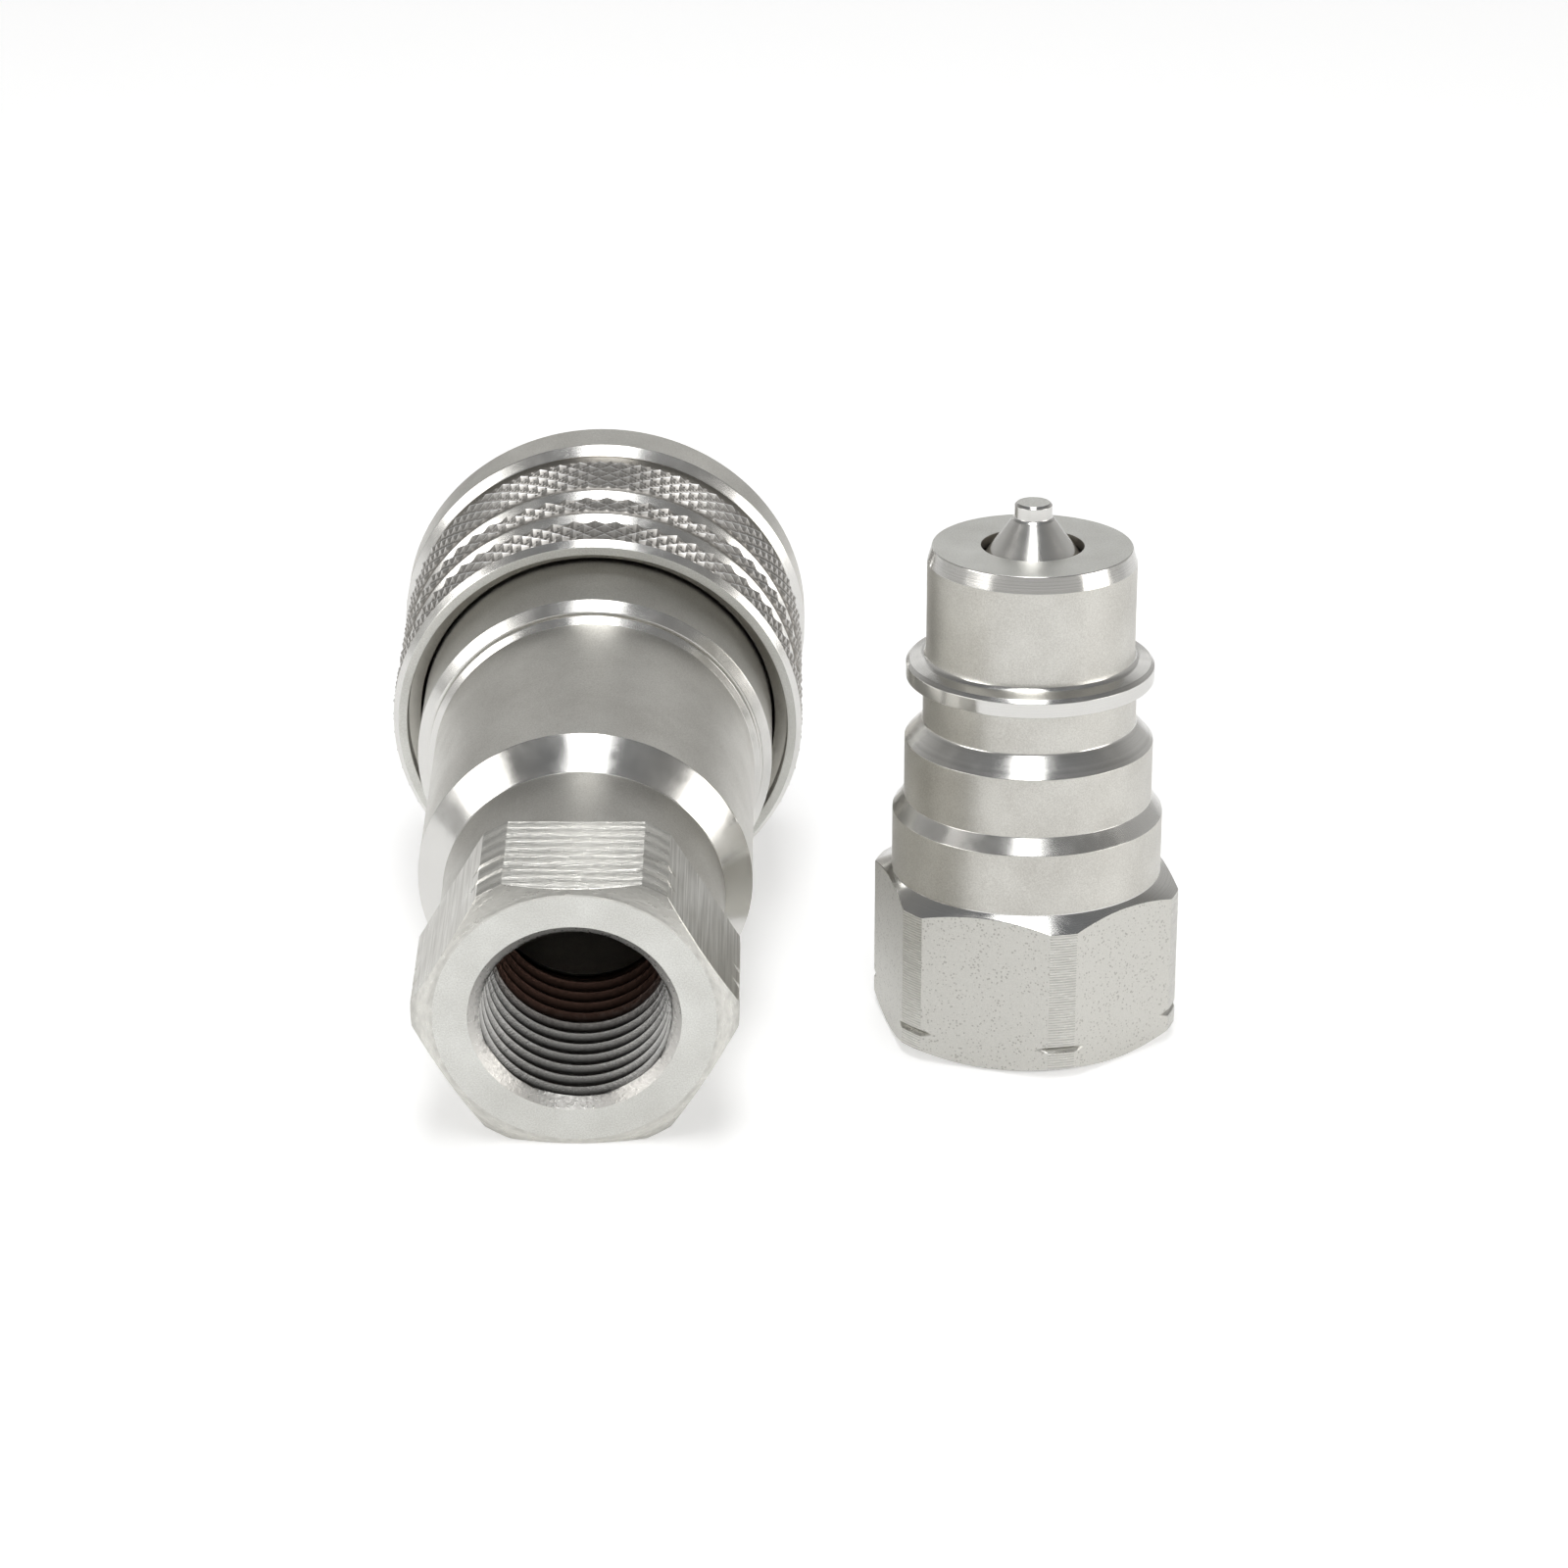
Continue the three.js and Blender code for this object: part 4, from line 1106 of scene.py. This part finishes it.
def round_array_tree(slices, knurl_material):
    """Repeats a slice round the Z axis, welds it, and gives the knurled faces their finish."""
    tree = bpy.data.node_groups.new("repeat_round_axis", "GeometryNodeTree")
    face = tree.interface
    face.new_socket("Geometry", in_out="INPUT", socket_type="NodeSocketGeometry")
    count = face.new_socket("Slices", in_out="INPUT", socket_type="NodeSocketInt")
    weld = face.new_socket("Weld distance", in_out="INPUT", socket_type="NodeSocketFloat")
    finish = face.new_socket(
        "Knurl finish", in_out="INPUT", socket_type="NodeSocketMaterial")
    face.new_socket("Geometry", in_out="OUTPUT", socket_type="NodeSocketGeometry")
    new, link = tree.nodes.new, tree.links.new
    start, end = new("NodeGroupInput"), new("NodeGroupOutput")
    points = new("GeometryNodePoints")
    link(start.outputs["Slices"], points.inputs["Count"])
    index = new("GeometryNodeInputIndex")
    share = new("ShaderNodeMath")
    share.operation = "DIVIDE"
    link(index.outputs[0], share.inputs[0])
    link(start.outputs["Slices"], share.inputs[1])
    angle = new("ShaderNodeMath")
    angle.operation = "MULTIPLY"
    link(share.outputs[0], angle.inputs[0])
    angle.inputs[1].default_value = 2 * math.pi
    turn = new("ShaderNodeCombineXYZ")
    link(angle.outputs[0], turn.inputs["Z"])
    spread = new("GeometryNodeInstanceOnPoints")
    link(points.outputs[0], spread.inputs["Points"])
    link(start.outputs["Geometry"], spread.inputs["Instance"])
    link(turn.outputs[0], spread.inputs["Rotation"])
    real = new("GeometryNodeRealizeInstances")
    link(spread.outputs[0], real.inputs[0])
    merge = new("GeometryNodeMergeByDistance")
    link(real.outputs[0], merge.inputs["Geometry"])
    link(start.outputs["Weld distance"], merge.inputs["Distance"])
    flagged = new("GeometryNodeInputNamedAttribute")
    flagged.data_type = "BOOLEAN"
    flagged.inputs["Name"].default_value = "knurled"
    paint = new("GeometryNodeSetMaterial")
    link(merge.outputs[0], paint.inputs["Geometry"])
    link(flagged.outputs[0], paint.inputs["Selection"])
    link(start.outputs["Knurl finish"], paint.inputs["Material"])
    link(paint.outputs[0], end.inputs[0])
    values = {
        count.identifier: slices,
        weld.identifier: SLICE_WELD,
        finish.identifier: knurl_material,
    }
    return tree, values


def build_sleeve(context):
    sizes = context.scene.coupler_sizes
    finishes = finish_set(context)["socket"]
    turning, rows = sleeve_slice(sizes)
    made = slice_mesh(turning, rows)
    for name in turning.names:
        made.materials.append(finishes[name])
    piece = scratch_object("sleeve_slice", made)
    tree, values = round_array_tree(sizes.knurl_count, finishes["knurl"])
    modifier = piece.modifiers.new("repeat", "NODES")
    modifier.node_group = tree
    for identifier, value in values.items():
        modifier[identifier] = value
    made = plain_mesh(piece)
    bpy.data.objects.remove(piece)
    closed_mesh(made)
    made.name = "sleeve_knurled"
    placed(made, SOCKET_PLACE)
    show_piece("sleeve_knurled", made, finishes, turning.names,
               "sleeve", ["locking_sleeve"])


# ---------------------------------------------------------------------------------------
# Valves: poppets, guides, springs
# ---------------------------------------------------------------------------------------

HALVES = (("socket", SEAT_FACE, SOCKET_PLACE), ("plug", PLUG_FACE, PLUG_PLACE))
SEAL_MIDDLE = (SEAL_LOW + SEAL_HIGH) / 2
SEAL_RADIUS, SEAL_SECTION = 5.75, 0.55
SEAL_GROOVE_RADIUS, SEAL_GROOVE_HALF = 5.1, 0.65
HEAD_RADIUS, HEAD_LENGTH = 7.0, 1.2
TIP_RADIUS, TIP_CHAMFER, TIP_ROOT_RADIUS = 1.85, 0.25, 2.1
GUIDE_RIM, GUIDE_HUB = (7.2, 8.7), (2.5, 4.2)  # inner and outer radius
GUIDE_LEGS = 3
LEG_START, LEG_LENGTH, LEG_WIDTH, LEG_INSET, LEG_EDGE = 3.8, 3.8, 2.2, 0.05, 0.3
VALVE_COIL = (5.0, 0.6, 5.5)  # mean radius, wire radius, turns
SLEEVE_COIL = (16.855, 0.9, 3.5)
SLEEVE_COIL_LOW, SLEEVE_COIL_HIGH = 62.3, 73.7
POPPET_TRAVEL, SLEEVE_TRAVEL = 5.0, 6.0
STEPS_PER_TURN = 36
CLOSED_TURNS = 0.85  # turns laid flat at each end of a spring
CLOSED_PITCH, CLOSED_RISE = 2.05, 0.9  # of the wire radius, and the part of it that is climbed
SMOOTHING = 13  # points over which the coil's change of pitch is eased


def build_poppets(context):
    for side, face, place in HALVES:
        finishes = finish_set(context)[side]
        low, high = SEAL_MIDDLE - SEAL_GROOVE_HALF, SEAL_MIDDLE + SEAL_GROOVE_HALF
        shoulder = high + 0.2
        tip_base = (NOSE_CONE_AT_FACE - TIP_ROOT_RADIUS) / NOSE_CONE_SLOPE
        head_front = min(SEAT_CONE_AT_FACE - HEAD_RADIUS, low)
        corners = [
            (0, TIP_TOP, 0, "face"),
            (TIP_RADIUS - TIP_CHAMFER, TIP_TOP, 0.08, "polish"),
            (TIP_RADIUS, TIP_TOP - TIP_CHAMFER, 0.08, "polish"),
            (TIP_RADIUS, tip_base + 0.2, 0.15, "polish"),
            (TIP_ROOT_RADIUS, tip_base, 0.1, "mirror"),
            (NOSE_CONE_AT_FACE - NOSE_CONE_SLOPE * shoulder, shoulder, 0.06, "polish"),
            (SEAT_CONE_AT_FACE - shoulder, shoulder, 0.04, "polish"),
            (SEAT_CONE_AT_FACE - high, high, 0.03, "bore"),
            (SEAL_GROOVE_RADIUS, high, 0.08, "bore"),
            (SEAL_GROOVE_RADIUS, low, 0.08, "bore"),
            (min(SEAT_CONE_AT_FACE - low, HEAD_RADIUS), low, 0.05, "polish"),
            (HEAD_RADIUS, head_front - 0.05, 0.05, "polish"),
            (HEAD_RADIUS, head_front - HEAD_LENGTH, 0.12, "plate"),
            (STEM_RADIUS, head_front - HEAD_LENGTH, 0.25, "plate"),
            (STEM_RADIUS, STEM_END + 0.4, 0.08, "plate"),
            (STEM_RADIUS - 0.4, STEM_END, 0.08, "plate"),
            (0, STEM_END, 0, "plate"),
        ]
        turning = Turning(angles_round(96))
        rows = [(r, h + face, m) for r, h, m in rounded(corners)]
        turning.patch(rows, "polish")
        turned_piece(f"{side}_poppet_turned", turning, place, finishes,
                     f"{side}_poppet", "polished_steel", f"{side}_poppet")


def box_at(length, width, low, high, start, turn):
    """A leg with slightly rounded edges, from the hub outwards."""
    shape = bmesh.new()
    bmesh.ops.create_cube(shape, size=1)
    bmesh.ops.scale(shape, verts=shape.verts, vec=(length, width, high - low))
    bmesh.ops.translate(
        shape, verts=shape.verts, vec=(start + length / 2, 0, (low + high) / 2))
    edges = [e for e in shape.edges if abs(e.verts[0].co.x - e.verts[1].co.x) > length / 2]
    bmesh.ops.bevel(shape, geom=edges, offset=LEG_EDGE, segments=3, affect="EDGES")
    bmesh.ops.rotate(shape, verts=shape.verts, matrix=Matrix.Rotation(turn, 3, "Z"))
    made = bpy.data.meshes.new("leg")
    shape.to_mesh(made)
    shape.free()
    return made


def guide_ring(name, inner, outer, low, high):
    ring = solid_of_rows([
        (inner, low, 0.15), (outer, low, 0.2), (outer, high, 0.2), (inner, high, 0.15)],
        "polish", 96)
    return scratch_object(name, ring.mesh(name, Matrix.Identity(4)))


def build_guides(context):
    for side, face, place in HALVES:
        finishes = finish_set(context)[side]
        low, high = face + GUIDE_BACK, face + GUIDE_FRONT
        piece = guide_ring("rim", *GUIDE_RIM, low, high)
        combine(piece, guide_ring("hub", *GUIDE_HUB, low, high), "UNION")
        for k in range(GUIDE_LEGS):
            leg = box_at(LEG_LENGTH, LEG_WIDTH, low + LEG_INSET, high - LEG_INSET,
                         LEG_START, k * 2 * math.pi / GUIDE_LEGS)
            combine(piece, scratch_object("leg", leg), "UNION")
        made = piece.data
        bpy.data.objects.remove(piece)
        made.name = f"{side}_guide_cast"
        placed(made, place)
        show_piece(f"{side}_guide_cast", made, finishes, ["polish"],
                   side, [f"{side}_stem_guide"])


def coil_mesh(name, mean, wire, turns, low, high, sides, place):
    """A compression spring with its end turns closed and each end of the wire capped flat."""
    steps = int(turns * STEPS_PER_TURN)
    t = np.linspace(0, 1, steps + 1)
    turn = t * turns
    closed = CLOSED_TURNS
    dead = CLOSED_PITCH * wire
    lowest, highest = low + wire, high - wire
    active = turns - 2 * closed
    rise = np.where(
        turn < closed, lowest + dead * turn / closed * CLOSED_RISE,
        np.where(
            turn > turns - closed, highest - dead * (turns - turn) / closed * CLOSED_RISE,
            lowest + dead * CLOSED_RISE
            + (highest - lowest - 2 * CLOSED_RISE * dead)
            * np.clip((turn - closed) / active, 0, 1)))
    kernel = np.hanning(SMOOTHING)
    padded = np.pad(rise, SMOOTHING // 2, mode="edge")
    rise = np.convolve(padded, kernel / kernel.sum(), mode="valid")
    angle = turn * 2 * math.pi
    centre = np.stack([mean * np.cos(angle), mean * np.sin(angle), rise], -1)
    tangent = np.gradient(centre, axis=0)
    tangent /= np.linalg.norm(tangent, axis=1, keepdims=True)
    outward = np.stack([np.cos(angle), np.sin(angle), 0 * angle], -1)
    upward = np.cross(tangent, outward)
    ring = angles_round(sides)
    points = (centre[:, None] + wire * (
        np.cos(ring)[None, :, None] * outward[:, None]
        + np.sin(ring)[None, :, None] * upward[:, None])).reshape(-1, 3)
    faces = []
    for j in range(steps):
        for i in range(sides):
            a = (i + 1) % sides
            faces.append((j * sides + i, j * sides + a, (j + 1) * sides + a, (j + 1) * sides + i))
    faces.append(tuple(range(sides)))
    faces.append(tuple(range(steps * sides, (steps + 1) * sides)))
    made = bpy.data.meshes.new(name)
    made.from_pydata(points.tolist(), [], faces)
    return placed(closed_mesh(made), place)


def squashed(piece, along, origin, fixed, travel):
    tuple(along)
    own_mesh(piece)


def build_springs(context):
    sides = context.scene.coupler_sizes.spring_sides
    for side, face, place, along, origin in (
        ("socket", SEAT_FACE, SOCKET_PLACE, SOCKET_AXIS, SOCKET_ORIGIN),
        ("plug", PLUG_FACE, PLUG_PLACE, Vector((0, 0, 1)), PLUG_ORIGIN),
    ):
        finishes = finish_set(context)[side]
        low, high = face + SPRING_LOW, face + SPRING_HIGH
        name = f"{side}_valve_coil"
        made = coil_mesh(name, *VALVE_COIL, low, high, sides, place)
        piece = show_piece(name, made, finishes, ["spring"],
                           side, [f"{side}_valve_spring"])
        squashed(piece, along, origin, low, POPPET_TRAVEL)
    finishes = finish_set(context)["socket"]
    low, high = SLEEVE_COIL_LOW, SLEEVE_COIL_HIGH
    made = coil_mesh("sleeve_coil", *SLEEVE_COIL, low, high, sides, SOCKET_PLACE)
    piece = show_piece("sleeve_coil", made, finishes, ["spring"],
                       "socket", ["sleeve_spring"])
    squashed(piece, SOCKET_AXIS, SOCKET_ORIGIN, low, SLEEVE_TRAVEL)


# ---------------------------------------------------------------------------------------
# Seals, split rings and balls
# ---------------------------------------------------------------------------------------


def ring_corners(mean, section, station, count=20):
    return [
        (mean + section * math.cos(a), station + section * math.sin(a), None)
        for a in angles_round(count)
    ]


def build_seals(context):
    for name, side, place, body, node, mean, section, station in (
        ("joint_o_ring", "socket", SOCKET_PLACE, "socket", "joint_seal", 13.25, 0.85, 54.0),
        ("nose_o_ring", "socket", SOCKET_PLACE, "socket", "nose_seal", 11.48, 1.25, 67.71),
        ("socket_poppet_o_ring", "socket", SOCKET_PLACE, "socket_poppet",
         "socket_poppet_seal", SEAL_RADIUS, SEAL_SECTION, SEAT_FACE + SEAL_MIDDLE),
        ("plug_poppet_o_ring", "plug", PLUG_PLACE, "plug_poppet",
         "plug_poppet_seal", SEAL_RADIUS, SEAL_SECTION, PLUG_FACE + SEAL_MIDDLE),
    ):
        finishes = finish_set(context)[side]
        turning = Turning(angles_round(96))
        rows = ring_corners(mean, section, station)
        turning.patch([*rows, rows[0]], "rubber")
        turned_piece(name, turning, place, finishes, body, "black_rubber", node)
    finishes = finish_set(context)["socket"]
    turning = solid_of_rows([
        (10.52, 69.08, 0.1), (12.76, 69.08, 0.1), (12.76, 70.18, 0.1), (10.52, 70.18, 0.1)],
        "backup")
    turned_piece("nose_backup_ring_turned", turning, SOCKET_PLACE, finishes,
                 "socket", "white_plastic", "nose_backup_ring")


RING_EDGE = 0.12
RING_GAP = 3.0


def split_ring_mesh(name, inner, outer, low, high, gap, place):
    """A flat ring with rounded edges and a gap at local +X, its two ends closed."""
    section = rounded([
        (radius, height, RING_EDGE) for radius, height in
        ((inner, low), (outer, low), (outer, high), (inner, high))], closed=True)
    half_gap = math.asin(gap / 2 / outer)
    angles = np.linspace(half_gap, 2 * math.pi - half_gap, 121)
    count = len(section)
    points, faces = [], []
    for a in angles:
        points += [(r * math.cos(a), r * math.sin(a), h) for r, h, _ in section]
    for i in range(len(angles) - 1):
        for j in range(count):
            k = (j + 1) % count
            faces.append((i * count + j, i * count + k, (i + 1) * count + k, (i + 1) * count + j))
    faces.append(tuple(range(count)))
    faces.append(tuple(range((len(angles) - 1) * count, len(angles) * count)))
    made = bpy.data.meshes.new(name)
    made.from_pydata(points, [], faces)
    return placed(closed_mesh(made), place)


def build_snap_rings(context):
    for name, side, place, node, inner, outer, low, high in (
        ("sleeve_stop_ring_cut", "socket", SOCKET_PLACE, "sleeve_stop_ring",
         14.32, 17.0, 80.5024, 81.7024),
        ("socket_guide_ring_cut", "socket", SOCKET_PLACE, "socket_guide_ring",
         7.7, 9.63, SEAT_FACE + RING_BACK, SEAT_FACE + RING_FRONT),
        ("plug_guide_ring_cut", "plug", PLUG_PLACE, "plug_guide_ring",
         7.7, 9.63, PLUG_FACE + RING_BACK, PLUG_FACE + RING_FRONT),
    ):
        finishes = finish_set(context)[side]
        made = split_ring_mesh(name, inner, outer, low, high, RING_GAP, place)
        show_piece(name, made, finishes, ["spring"], side, [node])


def build_balls(context):
    finishes = finish_set(context)["socket"]
    for k, node in enumerate(BALLS):
        turning = Turning(angles_round(40))
        arc = np.linspace(-math.pi / 2, math.pi / 2, 25)
        rows = [(BALL_RADIUS * math.cos(a), BALL_RADIUS * math.sin(a), None) for a in arc]
        rows[0] = (0, -BALL_RADIUS, None)
        rows[-1] = (0, BALL_RADIUS, None)
        turning.patch(rows, "mirror")
        angle = k * math.pi / 4
        middle = (BALL_CENTRE_RADIUS * math.cos(angle),
                  BALL_CENTRE_RADIUS * math.sin(angle), BALL_STATION)
        place = SOCKET_PLACE @ Matrix.Translation(middle)
        turned_piece(f"{node}_ground", turning, place, finishes, node, "ball_steel", node)


# ---------------------------------------------------------------------------------------
# Stage: floor, lamps, sky, camera
# ---------------------------------------------------------------------------------------

SKY = (  # height of the direction looked in, and the colour there
    (0.0, (0.50, 0.495, 0.485)),
    (0.32, (0.46, 0.457, 0.45)),
    (0.58, (0.225, 0.222, 0.215)),
    (1.0, (0.16, 0.165, 0.175)),
)


LAMPS = (  # name, place, point aimed at, width, height, watts, colour
    ("overhead", (0, -0.18, 0.92), (0, -0.05, 0), 0.30, 1.15, 4.8, (1, 1, 1)),
    ("left", (-0.86, -0.42, 0.46), (0, 0.02, 0.02), 0.56, 0.46, 2.0, (1.0, 0.985, 0.96)),
    ("right", (0.93, -0.32, 0.26), (0, 0.02, 0.02), 0.56, 0.46, 2.0, (1.0, 0.975, 0.94)),
    ("back", (0, 1.25, 0.55), (0, 0, 0.10), 1.3, 0.50, 0.9, (1, 1, 1)),
)
FLOOR_GLOW = (0.30, 0.50)  # emission towards the object, and towards the camera
CAMERA_AIM = (-0.02426, 0.06408)  # the point looked at, from the foot of the plug, metres


def lamp(name, place, aim, width, height, power, colour):
    data = bpy.data.lights.new(name, "AREA")
    data.shape = "RECTANGLE"
    data.size, data.size_y = width, height
    data.energy = power
    data.color = colour
    made = bpy.data.objects.new(name, data)
    bpy.context.scene.collection.objects.link(made)
    made.location = place
    direction = Vector(aim) - Vector(place)
    made.rotation_euler = direction.to_track_quat("-Z", "Y").to_euler()


def build_stage(context):
    stage = context.scene.coupler_stage
    shape = bmesh.new()
    bmesh.ops.create_circle(
        shape, cap_ends=True, segments=96, radius=stage.floor_reach)
    data = bpy.data.meshes.new("floor")
    shape.to_mesh(data)
    shape.free()
    floor = bpy.data.objects.new("floor", data)
    context.scene.collection.objects.link(floor)
    paper = bpy.data.materials.new("paper")
    paper.use_nodes = True
    shader = paper.node_tree.nodes["Principled BSDF"]
    shader.inputs["Base Color"].default_value = (*stage.floor, 1)
    shader.inputs["Roughness"].default_value = 0.9
    shader.inputs["Specular IOR Level"].default_value = 0.1
    shader.inputs["Emission Color"].default_value = (*stage.floor, 1)
    path = paper.node_tree.nodes.new("ShaderNodeLightPath")
    glow = paper.node_tree.nodes.new("ShaderNodeMapRange")
    glow.inputs["To Min"].default_value, glow.inputs["To Max"].default_value = FLOOR_GLOW
    paper.node_tree.links.new(path.outputs["Is Camera Ray"], glow.inputs["Value"])
    paper.node_tree.links.new(glow.outputs["Result"], shader.inputs["Emission Strength"])
    data.materials.append(paper)

    for name, place, aim, width, height, power, colour in LAMPS:
        lamp(name, place, aim, width, height, power * stage.light, colour)

    world = bpy.data.worlds.new("studio")
    context.scene.world = world
    world.use_nodes = True
    tree = world.node_tree
    coordinates = tree.nodes.new("ShaderNodeTexCoord")
    parts = tree.nodes.new("ShaderNodeSeparateXYZ")
    tree.links.new(coordinates.outputs["Generated"], parts.inputs[0])
    ramp = tree.nodes.new("ShaderNodeValToRGB")
    tree.links.new(parts.outputs["Z"], ramp.inputs["Fac"])
    for end in (0, -1):
        ramp.color_ramp.elements[end].position = SKY[end][0]
        ramp.color_ramp.elements[end].color = (*SKY[end][1], 1)
    for height, colour in SKY[1:-1]:
        ramp.color_ramp.elements.new(height).color = (*colour, 1)
    tree.links.new(ramp.outputs["Color"], tree.nodes["Background"].inputs["Color"])

    lens = bpy.data.cameras.new("coupler_camera")
    lens.sensor_width = 36
    lens.lens = stage.lens
    lens.clip_start, lens.clip_end = 0.01, 50
    camera = bpy.data.objects.new("coupler_camera", lens)
    context.scene.collection.objects.link(camera)
    target = PLUG_ORIGIN + Vector((*CAMERA_AIM, 0))
    rise, reach = stage.camera_height, stage.camera_distance
    camera.location = target + Vector((0, -reach * math.cos(rise), reach * math.sin(rise)))
    camera.rotation_euler = (math.pi / 2 - rise, 0, 0)
    context.scene.camera = camera
    context.scene.view_settings.view_transform = "Standard"


# ---------------------------------------------------------------------------------------
# Operators and panel
# ---------------------------------------------------------------------------------------


class COUPLER_OT_adaptor(bpy.types.Operator):
    """Turns the socket's threaded hexagon end"""

    bl_idname = "coupler.adaptor"
    bl_label = "Socket adaptor"

    def execute(self, context):
        build_adaptor(context)
        return {"FINISHED"}


class COUPLER_OT_body(bpy.types.Operator):
    """Bores the socket's body and its ball holes"""

    bl_idname = "coupler.body"
    bl_label = "Socket body"

    def execute(self, context):
        build_body(context)
        return {"FINISHED"}


class COUPLER_OT_sleeve(bpy.types.Operator):
    """Knurls the locking sleeve"""

    bl_idname = "coupler.sleeve"
    bl_label = "Locking sleeve"

    def execute(self, context):
        build_sleeve(context)
        return {"FINISHED"}


class COUPLER_OT_plug_body(bpy.types.Operator):
    """Turns the plug's body"""

    bl_idname = "coupler.plug_body"
    bl_label = "Plug body"

    def execute(self, context):
        build_plug_body(context)
        return {"FINISHED"}


class COUPLER_OT_poppets(bpy.types.Operator):
    """Turns the two valve poppets"""

    bl_idname = "coupler.poppets"
    bl_label = "Poppets"

    def execute(self, context):
        build_poppets(context)
        return {"FINISHED"}


class COUPLER_OT_guides(bpy.types.Operator):
    """Makes the two stem guides"""

    bl_idname = "coupler.guides"
    bl_label = "Stem guides"

    def execute(self, context):
        build_guides(context)
        return {"FINISHED"}


class COUPLER_OT_springs(bpy.types.Operator):
    """Winds the valve springs and the sleeve spring"""

    bl_idname = "coupler.springs"
    bl_label = "Springs"

    def execute(self, context):
        build_springs(context)
        return {"FINISHED"}


class COUPLER_OT_seals(bpy.types.Operator):
    """Makes the O-rings and the backup ring"""

    bl_idname = "coupler.seals"
    bl_label = "Seals"

    def execute(self, context):
        build_seals(context)
        return {"FINISHED"}


class COUPLER_OT_snap_rings(bpy.types.Operator):
    """Makes the split rings"""

    bl_idname = "coupler.snap_rings"
    bl_label = "Snap rings"

    def execute(self, context):
        build_snap_rings(context)
        return {"FINISHED"}


class COUPLER_OT_balls(bpy.types.Operator):
    """Makes the eight locking balls"""

    bl_idname = "coupler.balls"
    bl_label = "Locking balls"

    def execute(self, context):
        build_balls(context)
        return {"FINISHED"}


class COUPLER_OT_stage(bpy.types.Operator):
    """Sets up the floor, the lamps and the camera"""

    bl_idname = "coupler.stage"
    bl_label = "Stage"

    def execute(self, context):
        build_stage(context)
        return {"FINISHED"}


STEPS = (
    COUPLER_OT_adaptor,
    COUPLER_OT_body,
    COUPLER_OT_sleeve,
    COUPLER_OT_plug_body,
    COUPLER_OT_poppets,
    COUPLER_OT_guides,
    COUPLER_OT_springs,
    COUPLER_OT_seals,
    COUPLER_OT_snap_rings,
    COUPLER_OT_balls,
    COUPLER_OT_stage,
)


class COUPLER_PT_panel(bpy.types.Panel):
    """Lists the steps and the sizes that may be changed"""

    bl_label = "Coupler"
    bl_idname = "COUPLER_PT_panel"
    bl_space_type = "VIEW_3D"
    bl_region_type = "UI"
    bl_category = "Coupler"

    def draw(self, context):
        for group in ("coupler_sizes", "coupler_finish", "coupler_stage"):
            values = getattr(context.scene, group)
            for name in values.bl_rna.properties.keys():
                if name not in ("rna_type", "name"):
                    self.layout.prop(values, name)
        for made in STEPS:
            self.layout.operator(made.bl_idname)


GROUPS = {
    "coupler_sizes": CouplerSizes,
    "coupler_finish": CouplerFinish,
    "coupler_stage": CouplerStage,
}


def register():
    for name, group in GROUPS.items():
        bpy.utils.register_class(group)
        setattr(bpy.types.Scene, name, bpy.props.PointerProperty(type=group))
    for made in [*STEPS, COUPLER_PT_panel]:
        bpy.utils.register_class(made)


def unregister():
    for made in [COUPLER_PT_panel, *reversed(STEPS)]:
        bpy.utils.unregister_class(made)
    for name, group in GROUPS.items():
        delattr(bpy.types.Scene, name)
        bpy.utils.unregister_class(group)


def main():
    register()
    for made in STEPS:
        name = made.bl_idname.split(".")[1]
        if getattr(bpy.ops.coupler, name)() != {"FINISHED"}:
            raise RuntimeError(f"the {name} step did not finish")


if __name__ == "__main__":
    main()
